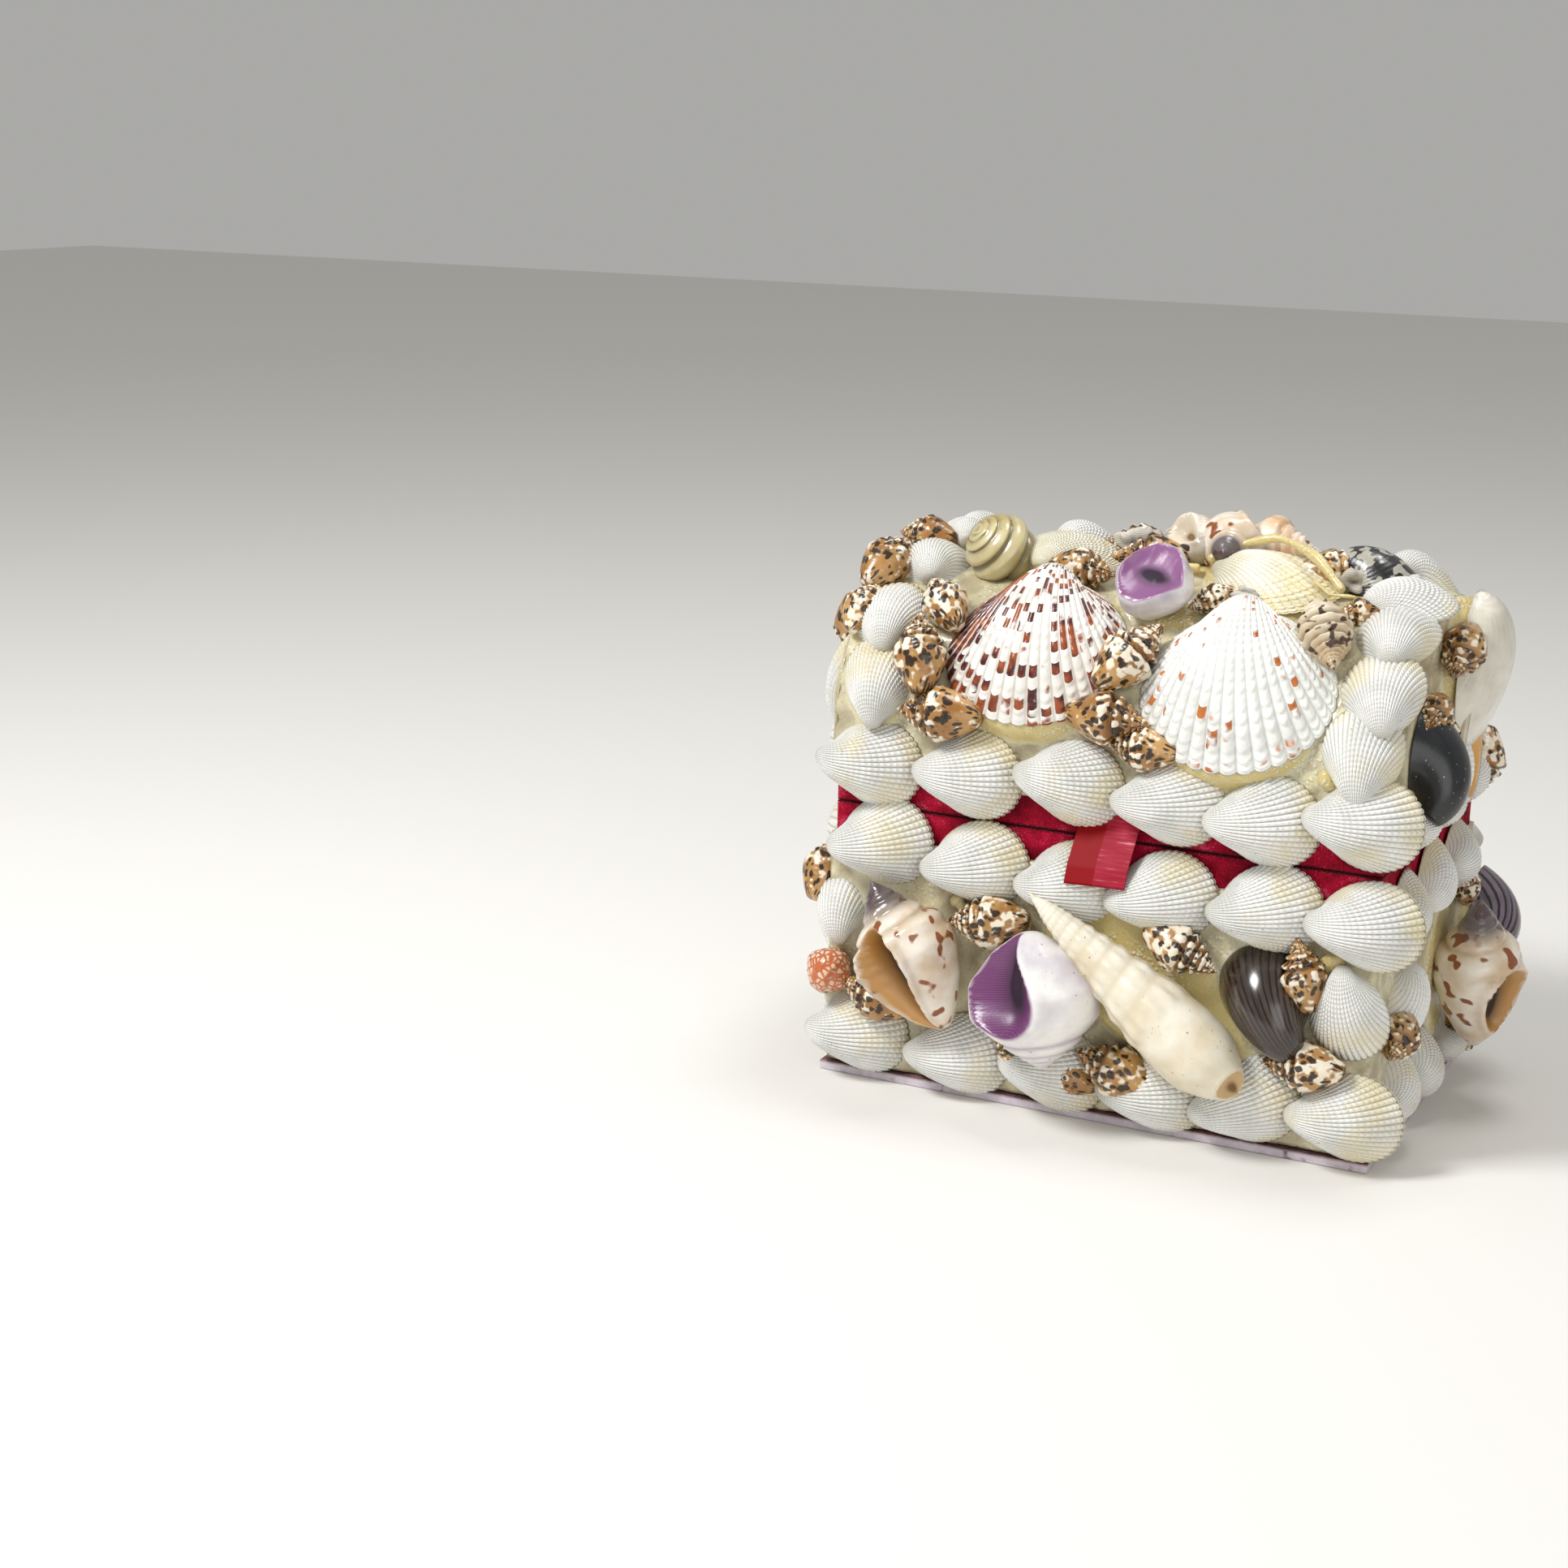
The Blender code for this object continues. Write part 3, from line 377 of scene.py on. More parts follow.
@dataclass(frozen=True)
class Valve:
    """One valve of a bivalve, or a nerite, as it grows round its hinge line.

    The margin is an oval through the hinge, narrowed towards it by a power of the way
    from it. Swept round the hinge by an angle, it shrinks by e to the minus curl times
    the angle, so the beak curls over the hinge. Ribs are places on the oval where it is
    a little larger, and beads stand on them. The margin turns in at last as a flat lip.
    """

    length: float
    breadth: float = 0.86
    curl: float = 0.85
    ribs: int = 44
    rib_height: float = 0.036
    pointed: float = 0.13
    bead_rows: int = 0
    lean: float = 0.0
    frill: float = 0.0
    flatten: float = 1.0
    rows: int = 24
    steps_per_rib: int = 4
    beak_turn: float = math.radians(130)
    beak_ease: float = 1.4
    rib_edge: float = 0.8
    bead_height: float = 0.22
    margin_fade: float = 0.55
    lip_width: float = 0.07
    lip_drop: float = 0.002

    def skin(self, hue: float) -> Skin:
        """Build the valve lying on z = 0 with its beak at -X.

        Args:
            hue: number from 0 to 1 that varies the finish.

        Returns:
            The closed surface.
        """
        cols = self.ribs * self.steps_per_rib
        shape = (self.rows + 2, cols)
        around = math.tau * np.arange(cols) / cols
        share = np.linspace(0, 1, self.rows)[:, None]
        angle = self.beak_turn * (1 - share) ** self.beak_ease
        size = np.exp(-self.curl * angle)
        ridge = np.abs(np.cos(self.ribs / 2 * (around - math.pi)))[None] ** self.rib_edge
        fade = np.clip(3 * share, 0, 1) * (1 - self.margin_fade * smooth_step(share, 0.9, 1))
        rows_of_beads = np.sin(self.bead_rows * math.pi * share) * smooth_step(share, 0.45, 0.75)
        swell = 1 + self.rib_height * (ridge * (1 + self.bead_height * rows_of_beads) - 0.7) * fade
        swell = swell + self.frill * np.sin(5 * around + 40 * share + 6 * hue) * share**3
        oval = (1 - np.cos(around)) / 2
        reach = oval * swell * size
        taper = ((0.02 + oval) / 0.55) ** self.pointed
        side = -self.breadth / 2 * np.sin(around) * taper * swell * size
        side = side + self.lean * oval * (1 - oval) * size
        rings = grid_points(reach * np.cos(angle) - 0.5, side, reach * np.sin(angle) * self.flatten)
        narrow = 1 - self.lip_width
        inner = rings[-1] * [narrow, narrow, 0] + [0, 0, -self.lip_drop]
        rings = np.concatenate([rings, inner[None], np.broadcast_to(inner.mean(0), inner[None].shape)])
        rib = ridge * np.clip(np.linspace(0, 3, shape[0]), 0, 1)[:, None]
        return closed_rings(rings * self.length, shell_marks(shape, hue, rib))


@dataclass(frozen=True)
class Bowl:
    """A valve seen from inside: a thin oval dish whose rim stands up from the glue."""

    length: float
    breadth: float = 0.7
    depth: float = 0.2
    rim: float = 0.05
    tip: float = 0.35
    thinning: float = 0.94
    wave: float = 0.015
    rows: int = 30
    cols: int = 96

    def skin(self, hue: float) -> Skin:
        """Build the dish: out over the back to the rim, then in and down to its middle.

        Args:
            hue: number from 0 to 1 that varies the finish.

        Returns:
            The closed surface.
        """
        around = math.tau * np.arange(self.cols) / self.cols
        run = np.linspace(0, 1, self.rows)[:, None]
        out = run < 0.5
        radius = np.sin(math.pi * run) * np.where(out, 1, self.thinning)
        bend = self.depth * (1 - np.cos(math.pi * np.where(out, run, 1 - run))) * 0.9
        lip = self.rim * np.sqrt(np.clip(np.sin(math.pi * (1 - run)), 0, None)) * 0.2 + 0.02
        height = bend + np.where(out, 0, lip)
        outline = 1 + 0.04 * np.sin(3 * around + 5 * hue) + 0.02 * np.sin(7 * around)
        narrow = 1 - self.tip * (1 - np.cos(around)) / 2
        rings = grid_points(
            radius * np.cos(around) * outline / 2,
            radius * np.sin(around) * outline * narrow * self.breadth / 2,
            height + self.wave * np.sin(2 * around),
        )
        deep = smooth_step(run, 0.5, 0.56) * np.clip((run - 0.5) * 2, 0.2, 1)
        return closed_rings(rings * self.length, shell_marks((self.rows, self.cols), hue, 0.8, deep))


@dataclass(frozen=True)
class Mouth:
    """The opening of a snail: an oval on its side that sinks in, with a lip round it.

    Along and half_along are shares of the length, the angles are degrees round the axis,
    where 180 faces away from the box. Depth and flare are shares of the radius.
    """

    along: float
    around: float
    half_along: float
    half_around: float
    depth: float
    flare: float
    slant: float = 0.0

    def far(self, share: Array, around: Array) -> Array:
        """How far from the middle of the opening, where 1 is its edge.

        Args:
            share: share of the shell's length.
            around: angle round its axis.

        Returns:
            The distances, spread over rows and columns.
        """
        off = share - self.along
        gap = (np.degrees(around) - self.around - self.slant * off + 180) % 360 - 180
        return np.sqrt((off / self.half_along) ** 2 + (gap / self.half_around) ** 2)


@dataclass(frozen=True)
class Snail:
    """A snail shell lying on its side, its tip at -X.

    The radius follows a profile along the axis. A spiral groove winds from the tip: one
    turn on, it is growth times as far from the tip. Knobs stand on the whorls, and cords
    run round them. The rows crowd towards the tip by a power.
    """

    length: float
    profile: tuple[tuple[float, float], ...]
    growth: float = 1.5
    groove: float = 0.12
    smooth_from: float = 0.75
    knobs: int = 0
    knob_height: float = 0.0
    knobs_until: float = 1.0
    cords: int = 0
    axis_height: float = 0.24
    flatten: float = 1.0
    mouth: Mouth | None = None
    cord_height: float = 0.012
    tip_rows: float = 1.15
    rows: int = 46
    cols: int = 48

    def radius_at(self, share: Array) -> Array:
        """Radius along the axis: the profile's straight runs, rounded at their corners."""
        fine = np.linspace(0, 1, 401)
        along, radius = np.array(self.profile).T
        straight = np.interp(fine, along, radius)
        reach = np.arange(-24, 25)
        weight = np.exp(-((reach / 10) ** 2))
        padded = np.pad(straight, 24, mode="reflect", reflect_type="odd")
        rounded = np.convolve(padded, weight / weight.sum(), mode="valid")
        closing = np.clip(np.minimum(share, 1 - share) * 60, 0, 1) ** 0.5
        return np.clip(np.interp(share, fine, rounded), 0, None) * closing

    def skin(self, hue: float) -> Skin:
        """Build the shell lying on z = 0.

        Args:
            hue: number from 0 to 1 that varies the finish and where the spiral starts.

        Returns:
            The closed surface.
        """
        share = (np.linspace(0, 1, self.rows) ** self.tip_rows)[:, None]
        around = (math.tau * (np.arange(self.cols) + 0.5) / self.cols)[None]
        turns = np.log(np.maximum(share, 0.015)) / math.log(self.growth) - around / math.tau + hue
        phase = turns - np.floor(turns)
        body = 1 - smooth_step(share, self.smooth_from - 0.08, self.smooth_from + 0.04)
        dip = np.abs(2 * phase - 1) ** 3
        radius = self.radius_at(share) * (1 - self.groove * dip * body)
        knob = np.zeros_like(radius)
        if self.knobs:
            on_whorl = np.cos(self.knobs * around) * 0.5 + 0.5
            shoulder = bell(phase, 0.55, 0.27) * body + (1 - body) * bell(share, self.smooth_from, 0.08)
            knob = on_whorl * shoulder * (1 - smooth_step(share, self.knobs_until - 0.05, self.knobs_until))
        cord = np.cos(math.tau * self.cords * share) * self.cord_height if self.cords else 0.0
        radius = radius * (1 + self.knob_height * knob + cord * (share > 0.12))
        mask = np.zeros_like(radius)
        if self.mouth:
            far = self.mouth.far(share, around)
            inside = np.sqrt(np.clip(1 - far**2, 0, 1))
            mask = np.clip(1 - far / 1.25, 0, 1)
            sunk = self.mouth.depth * smooth_step(inside, 0, 0.9)
            radius = radius * (1 - sunk + self.mouth.flare * bell(far, 1.12, 0.16))
        across = radius * np.sin(around)
        height = self.axis_height - radius * np.cos(around) * self.flatten
        rings = grid_points(share - 0.5, across, height)
        rib = np.clip(0.55 + 0.45 * knob - 0.55 * dip * body, 0, 1)
        return closed_rings(rings * self.length, shell_marks(radius.shape, hue, rib, mask))


def linear(code: str) -> tuple[float, float, float, float]:
    """Turn an sRGB hex colour to linear red, green, blue and full opacity."""
    parts = np.array([int(code[i : i + 2], 16) for i in (1, 3, 5)]) / 255
    value = np.where(parts <= 0.04045, parts / 12.92, ((parts + 0.055) / 1.055) ** 2.4)
    return (*map(float, value), 1.0)


@dataclass
class Tree:
    """A material in the making, with a short call for each kind of node.

    A call returns the socket that holds its result. Sizes are in millimetres.
    """

    name: str

    def __post_init__(self) -> None:
        """Start from an empty node tree."""
        self.material = bpy.data.materials.new(self.name)
        self.material.use_nodes = True
        self.material.node_tree.nodes.clear()

    @cached_property
    def place(self) -> Socket:
        """Object coordinates, in metres."""
        return self.add("TexCoord").outputs["Object"]

    @cached_property
    def growth(self) -> Socket:
        """The surface's own map: u runs round a shell, v from its tip or beak outwards."""
        return self.add("UVMap", uv_map="growth").outputs["UV"]

    @cached_property
    def rib(self) -> Socket:
        """How high the surface stands on its ribs or knobs, from 0 to 1."""
        return self.mark("rib")

    @cached_property
    def hue(self) -> Socket:
        """A number from 0 to 1 that varies from shell to shell."""
        return self.mark("hue")

    def mark(self, name: str) -> Socket:
        """A mark that the surface carries."""
        return self.add("Attribute", attribute_name=name).outputs["Fac"]

    def add(self, kind: str, links: dict | None = None, **settings) -> bpy.types.Node:
        """Add a node with its settings and links.

        Args:
            kind: class name of the node, less what all share.
            links: by input name or number, the socket it is fed from or the value it has.
            settings: properties of the node.

        Returns:
            The new node.
        """
        made = self.material.node_tree.nodes.new(f"ShaderNode{kind}")
        for name, value in settings.items():
            setattr(made, name, value)
        for name, source in (links or {}).items():
            if isinstance(source, Socket):
                self.material.node_tree.links.new(source, made.inputs[name])
            else:
                made.inputs[name].default_value = source
        return made

    def axis(self, vector: Socket, letter: str) -> Socket:
        """One part of a vector: X, Y or Z."""
        return self.add("SeparateXYZ", {0: vector}).outputs[letter]

    def noise(self, place: Socket, size: float, detail: float, output: str = "Fac", **more) -> Socket:
        """Clouds of about the given size; a W among the further inputs varies them."""
        links = {"Vector": place, "Scale": 1000 / size, "Detail": detail} | more
        return self.add("TexNoise", links, noise_dimensions="4D" if "W" in more else "3D").outputs[output]

    def cells(self, place: Socket, size: float, randomness: float = 1.0, feature: str = "F1") -> Socket:
        """Distance to the middles of scattered cells of the given size, or to their edges."""
        links = {"Vector": place, "Scale": 1000 / size, "Randomness": randomness}
        return self.add("TexVoronoi", links, feature=feature).outputs["Distance"]

    def waves(
        self, scale: float, bend: float, way: str = "Y", detail: float = 2.0, detail_scale: float = 1.0
    ) -> Socket:
        """Bands across one way of the growth map."""
        links = {"Vector": self.growth, "Scale": scale, "Distortion": bend}
        links |= {"Detail": detail, "Detail Scale": detail_scale}
        return self.add("TexWave", links, bands_direction=way).outputs["Fac"]

    def span(self, value: Socket, low: float, high: float, to_low: float = 0.0, to_high: float = 1.0) -> Socket:
        """Carry a number from low and high to to_low and to_high, held at both ends."""
        links = {"Value": value, "From Min": low, "From Max": high, "To Min": to_low, "To Max": to_high}
        return self.add("MapRange", links).outputs["Result"]

    def sum(self, operation: str, *values: Socket | float, kind: str = "Math") -> Socket:
        """Arithmetic on numbers, or on vectors with the kind VectorMath."""
        return self.add(kind, dict(enumerate(values)), operation=operation).outputs[0]

    def mix(self, share: Socket, here: Socket | str, there: Socket | str) -> Socket:
        """Mix two colours, each a socket or an sRGB hex colour."""
        ends = [linear(colour) if isinstance(colour, str) else colour for colour in (here, there)]
        return self.add("Mix", {0: share, 6: ends[0], 7: ends[1]}, data_type="RGBA").outputs[2]

    def ramp(self, value: Socket, *stops: tuple[float, str]) -> Socket:
        """Colours by value: each stop is a value and an sRGB hex colour."""
        made = self.add("ValToRGB", {"Fac": value})
        elements = made.color_ramp.elements
        while len(elements) < len(stops):
            elements.new(1.0)
        for element, (position, code) in zip(elements, stops):
            element.position = position
            element.color = linear(code)
        return made.outputs["Color"]

    def bump(self, height: Socket, strength: float, distance: float) -> Socket:
        """Normals tipped by a height of at most the distance."""
        links = {"Height": height, "Strength": strength, "Distance": distance * MM}
        return self.add("Bump", links).outputs["Normal"]

    def done(self, inputs: dict) -> bpy.types.Material:
        """Close the material with its shader, whose inputs are given by name."""
        shader = self.add("BsdfPrincipled", inputs)
        self.add("OutputMaterial", {"Surface": shader.outputs["BSDF"]})
        return self.material


class Pattern(Enum):
    """How a shell is marked."""

    PLAIN = "plain"
    RIB_SPOTS = "spots that keep to the ribs"
    SPECKLES = "brown and black specks"
    LINES = "thin dark lines"
    DASHES = "a few broad dashes"
    NET = "a net of orange"


@dataclass(frozen=True)
class ShellFinish:
    """Shell lime as it grew: layered, half gloss, with growth lines and its own marks.

    Colours are sRGB hex. Ground and shade make the slow change of the lime, groove is painted
    shade where the rib mark is low (between ribs, in sutures and in dips), mark and second_mark draw
    the pattern, mouth_rim colours the lip and the deep mouth colour fills the middle of the opening:
    painted shade deep in a snail's opening, and the real lining of a valve seen from inside. Sizes are in millimetres.
    """

    name: str
    ground: str
    shade: str
    groove: str
    mark: str = "#7A4A22"
    second_mark: str = "#1F1712"
    pattern: Pattern = Pattern.PLAIN
    amount: float = 0.5
    mark_size: float = 1.6
    ribs: int = 36
    mouth_rim: str = "#E6DCC8"
    mouth_shade_and_lining: str = "#5A4028"
    mouth_dark: float = 0.72
    mouth_lines: float = 0.0
    shoulder: float = -1.0
    stain: str = "#E0D09A"
    stain_amount: float = 0.0
    growth_lines: float = 26.0
    beads: float = 0.0
    tip: str = ""
    roughness: float = 0.34
    coat: float = 0.25
    relief: float = 0.12

    @cache
    def build(self) -> bpy.types.Material:
        """Make the material once, from Object coordinates, the growth map and the marks."""
        tree = Tree(self.name)
        mouth = tree.mark("mouth")
        ground = tree.ramp(tree.noise(tree.place, 9, 3.0, W=tree.hue), (0.38, self.ground), (0.66, self.shade))
        # Painted shade: the groove colour darkens the lime where the rib mark is low, between ribs, in the sutures of
        # snails and in the dips of crumbs.
        ground = tree.mix(tree.span(tree.rib, 0.0, 0.55, 0.75, 0.0), ground, self.groove)
        colour = self.marked(tree, ground)
        if self.stain_amount:
            outer = tree.span(tree.axis(tree.growth, "Y"), 0.35, 0.95, to_high=0.3)
            patch = tree.sum("ADD", tree.noise(tree.place, 14, 3.0), outer)
            colour = tree.mix(tree.span(patch, 0.62, 0.86, to_high=self.stain_amount), colour, self.stain)
        if self.tip:
            colour = tree.mix(tree.span(tree.axis(tree.growth, "Y"), 0.3, 0.2, to_high=0.9), colour, self.tip)
        # Painted shade: towards the middle of a snail's opening the colour turns to the deep mouth colour, which stands
        # in for the shade deep inside; the fold lines are drawn in it too. In a valve seen from inside it is the real
        # lining.
        deep, pale = (self.mouth_dark, self.mouth_shade_and_lining), (0.5 * self.mouth_dark, self.mouth_rim)
        inside = tree.ramp(mouth, (0.18, self.mouth_rim), pale, deep)
        if self.mouth_lines:
            folds = tree.sum("MULTIPLY", tree.waves(22.0, 0.6), self.mouth_lines)
            inside = tree.mix(folds, inside, self.mouth_shade_and_lining)
        return tree.done({
            "Base Color": tree.mix(tree.span(mouth, 0.14, 0.2), colour, inside),
            "Roughness": tree.span(mouth, 0.3, 0.7, self.roughness, 0.75),
            "Coat Weight": tree.span(mouth, 0.1, 0.3, self.coat, 0.05),
            "Coat Roughness": 0.18,
            "Subsurface Weight": 0.08,
            "Subsurface Scale": 0.0015,
            "Normal": self.relief_of(tree),
        })

    def relief_of(self, tree: Tree) -> Socket:
        """Growth lines across the growth, beads where they cross the ribs, and fine pitting."""
        lines = tree.waves(self.growth_lines / math.tau * 2, 1.2, detail_scale=0.6)
        height = tree.sum("MULTIPLY", lines, 0.35 + self.beads)
        if self.beads:
            height = tree.sum("MULTIPLY", height, tree.rib)
        height = tree.sum("MULTIPLY_ADD", tree.noise(tree.place, 0.6, 2.0), 0.5, height)
        return tree.bump(height, 0.55, self.relief)

    def marked(self, tree: Tree, ground: Socket) -> Socket:
        """Draw the shell's marks over its ground.

        Args:
            tree: the material in the making.
            ground: colour of the bare lime.

        Returns:
            The marked colour.
        """
        if self.pattern is Pattern.RIB_SPOTS:
            return self.rib_spots(tree, ground)
        if self.pattern is Pattern.SPECKLES:
            return self.speckles(tree, ground)
        amount = self.amount
        if self.pattern is Pattern.LINES:
            lines = tree.waves(self.ribs / math.tau, 0.9, "X", 1.0, 1.2)
            mask = tree.span(lines, 0.3 + 0.2 * amount, 0.12 + 0.2 * amount)
        elif self.pattern is Pattern.DASHES:
            broad = tree.noise(tree.place, 4 * self.mark_size, 1.0)
            mask = tree.span(broad, 0.66 - 0.1 * amount, 0.7 - 0.1 * amount)
        elif self.pattern is Pattern.NET:
            mask = tree.span(tree.cells(tree.place, self.mark_size, feature="DISTANCE_TO_EDGE"), 0.22, 0.1)
        else:
            mask = tree.span(tree.noise(tree.place, 1.1, 1.0), 0.72, 0.8, to_high=amount)
        return tree.mix(mask, ground, self.mark)

    def rib_spots(self, tree: Tree, ground: Socket) -> Socket:
        """Spots that keep to the ribs, denser at the shoulder, drawn over the ground."""
        counts = (self.ribs, self.growth_lines, 1)
        cell = tree.sum("MULTIPLY_ADD", tree.growth, counts, (0.5, 0, 0), kind="VectorMath")
        cell = tree.sum("FLOOR", cell, kind="VectorMath")
        chance = tree.add("TexWhiteNoise", {"Vector": cell}).outputs["Value"]
        drift = tree.noise(tree.place, 6, 2.0)
        dense = tree.sum("MULTIPLY_ADD", drift, 1.3, chance)
        if self.shoulder > 0:
            off = tree.sum("SUBTRACT", tree.axis(tree.growth, "X"), self.shoulder)
            near = tree.span(tree.sum("ABSOLUTE", off), 0.14, 0.04, to_high=0.8)
            dense = tree.sum("ADD", dense, near)
        spots = tree.span(dense, 1.72 - self.amount, 1.82 - self.amount)
        mask = tree.sum("MULTIPLY", spots, tree.span(tree.rib, 0.35, 0.6))
        tone = tree.mix(tree.span(drift, 0.44, 0.6), self.second_mark, self.mark)
        return tree.mix(mask, ground, tone)

    def speckles(self, tree: Tree, ground: Socket) -> Socket:
        """Pale patches and dark dashes that run across the whorls, drawn over the ground."""
        clouds = tree.noise(tree.place, 2.4, 1.0, W=tree.hue)
        pale = tree.sum("MULTIPLY_ADD", clouds, 1.5, tree.rib)
        pale = tree.sum("MULTIPLY_ADD", tree.hue, 0.3, pale)
        colour = tree.mix(tree.span(pale, 1.54, 1.66, to_high=0.95), ground, self.mark)
        wobble = tree.noise(tree.place, 3, 1.0, "Color")
        bent = tree.sum("MULTIPLY_ADD", wobble, (0.05, 0.06, 0.0), tree.growth, kind="VectorMath")
        counted = tree.sum("MULTIPLY", bent, (21.0, 10.0, 1.0), kind="VectorMath")
        dash = tree.sum("MULTIPLY_ADD", clouds, 0.8, tree.cells(counted, 1000, 0.75))
        more = 0.2 * self.amount
        return tree.mix(tree.span(dash, 0.6 + more, 0.5 + more, to_high=0.95), colour, self.second_mark)


# Lime of a craft cockle, washed white by the sea: chalky, with warm painted shade between its ribs
WHITE_COCKLE = ShellFinish(
    "cockle_lime_washed_white", "#F2F2EF", "#DFE0DC", "#9A917C", mark="#7A6A52", beads=1.5, growth_lines=32,
    roughness=0.4, stain_amount=0.62, relief=0.3,
)
# Scallop lime with red-brown spots that the animal laid on its ribs row by row
SPOTTED_SCALLOP = ShellFinish(
    "scallop_lime_red_spotted", "#F3F1EC", "#DFDBD2", "#BDB4A6", mark="#9A4A1E", second_mark="#4A0E14",
    pattern=Pattern.RIB_SPOTS, amount=0.52, ribs=40, growth_lines=27, shoulder=0.25, beads=0.6, relief=0.22,
)
# Scallop lime, nearly bare, with a few orange spots
ORANGE_SPOT_SCALLOP = ShellFinish(
    "scallop_lime_orange_spotted", "#F5F5F1", "#E2E3DD", "#BFC3BD", mark="#C07030", second_mark="#9A4A1E",
    pattern=Pattern.RIB_SPOTS, amount=0.18, ribs=36, growth_lines=30, beads=0.9, relief=0.25,
)
# Scallop lime without marks, half sunk in yellowed glue
PLAIN_SCALLOP = ShellFinish(
    "scallop_lime_beaded", "#F0EEE2", "#DCD6BE", "#BDB48E", beads=1.2, growth_lines=34, relief=0.32,
    amount=0.2, stain_amount=0.9,
)
# Dove snail: glossy orange-brown with cream patches and black dashes
DOVE_SPECKLED = ShellFinish(
    "dove_snail_lime_speckled", "#96662E", "#C49A60", "#3E2812", mark="#EFE6D2", second_mark="#1C0E04",
    pattern=Pattern.SPECKLES, amount=1.5, roughness=0.3, growth_lines=14, relief=0.16,
)
# Cream conch with broad brown dashes and a tan opening, painted dark deep inside as shade
CONCH_CREAM = ShellFinish(
    "conch_lime_brown_dashed", "#EDE4D6", "#D0B696", "#BFA988", mark="#8A4A1C", pattern=Pattern.DASHES,
    amount=0.65, mark_size=1.3, mouth_rim="#B98848", mouth_shade_and_lining="#2E1608", mouth_dark=0.5, roughness=0.25,
    coat=0.5, growth_lines=12, tip="#4C4248",
)
# White snail, pitted by worms, with a violet opening painted near black deep inside as shade
PURPLE_SNAIL = ShellFinish(
    "violet_snail_lime_pitted", "#EEECE8", "#D2CCD2", "#A89EA8", mark="#5C4C46", amount=0.8,
    mouth_rim="#7E4678", mouth_shade_and_lining="#260A26", mouth_dark=0.6, mouth_lines=0.45, growth_lines=14,
    roughness=0.3, coat=0.35,
)
# Moon-shaped snail with a violet opening, painted near black deep inside as shade, and a chalky outside
MOON_SNAIL = ShellFinish(
    "moon_snail_lime_violet_mouth", "#E4E0DC", "#B9B0BA", "#8E8494", mark="#6C5A6E", mouth_rim="#8A5A86",
    mouth_shade_and_lining="#220A26", growth_lines=12, roughness=0.28, coat=0.4,
)
# Cream-yellow snail under a film of glue
YELLOW_SNAIL = ShellFinish(
    "cream_snail_lime_glued", "#D2C79C", "#B3A26A", "#5E5438", mark="#5A461C", amount=0.7, roughness=0.24,
    coat=0.6, growth_lines=9,
)
# Nearly black nerite, polished, with pale pits
BLACK_NERITE = ShellFinish(
    "nerite_lime_black", "#131519", "#1F2226", "#0E0F12", mark="#B9B7A6", amount=0.9, roughness=0.3,
    coat=0.3, growth_lines=20, relief=0.05,
)
# Black turban with grey patches where its skin has rubbed off
BLACK_TURBAN = ShellFinish(
    "turban_lime_black_rubbed", "#1B1A1C", "#3A3838", "#0E0E10", mark="#A9A598", pattern=Pattern.DASHES,
    amount=1.3, mark_size=0.8, roughness=0.32, coat=0.4, growth_lines=24, relief=0.2,
)
# Brown nerite with black lines that run down its whorl
BROWN_NERITE = ShellFinish(
    "nerite_lime_brown_lined", "#38281F", "#4E3C32", "#2E211B", mark="#050303", pattern=Pattern.LINES,
    amount=0.35, ribs=70, roughness=0.2, coat=0.7, growth_lines=10, relief=0.04,
)
# Purple-grey nerite with black stripes
STRIPED_NERITE = ShellFinish(
    "nerite_lime_grey_striped", "#5D4E58", "#786878", "#4B424A", mark="#0B090C", pattern=Pattern.LINES,
    amount=0.4, ribs=44, roughness=0.24, coat=0.6, growth_lines=10, relief=0.04,
)
# Cream-white turret snail, worn smooth by sand at its wide end
CERITH_CREAM = ShellFinish(
    "cerith_lime_sand_worn", "#EFE9D8", "#DDD0B4", "#D8CBAE", mark="#9A6A3A", amount=0.8, roughness=0.36,
    growth_lines=16, relief=0.3, mouth_rim="#C9A878", mouth_shade_and_lining="#7A5A34",
)
# Pearly flat valve, off-white with grey growth rings
OYSTER_PEARL = ShellFinish(
    "oyster_lime_pearly", "#E6E1D4", "#CBC6B6", "#DDD8CA", mark="#8E8674", amount=0.4, roughness=0.28,
    coat=0.5, growth_lines=12, relief=0.3,
)
# Inside of a mussel-like valve: orange-brown lining with a cream edge
MUSSEL_ORANGE = ShellFinish(
    "mussel_lime_orange_lined", "#DAD0BC", "#B7A78C", "#A39376", mark="#5A4630", mouth_rim="#D8A45C",
    mouth_shade_and_lining="#A0601E", roughness=0.22, coat=0.7, growth_lines=8,
)
# Orange-and-white whelk
ORANGE_WHELK = ShellFinish(
    "whelk_lime_orange_banded", "#EEE4D4", "#D9A46A", "#A5794C", mark="#6B4526", pattern=Pattern.DASHES,
    amount=0.4, mark_size=1.2, roughness=0.3, growth_lines=10, mouth_rim="#E9D6BC", mouth_shade_and_lining="#9A6230",
)
# Blue-grey whelk with dark growth bands
GREY_WHELK = ShellFinish(
    "whelk_lime_grey_banded", "#E2D9C8", "#A69A8C", "#4C484C", mark="#3B3A42", pattern=Pattern.DASHES,
    mark_size=1.5, roughness=0.3, growth_lines=24, relief=0.25, mouth_rim="#D9CDB8", mouth_shade_and_lining="#7C5C38",
)
# Small round snail with an orange net
NET_SNAIL = ShellFinish(
    "round_snail_lime_netted", "#EBD8C2", "#DDBB9A", "#C09068", mark="#C0683A", pattern=Pattern.NET,
    mark_size=1.9, roughness=0.24, coat=0.5,
)
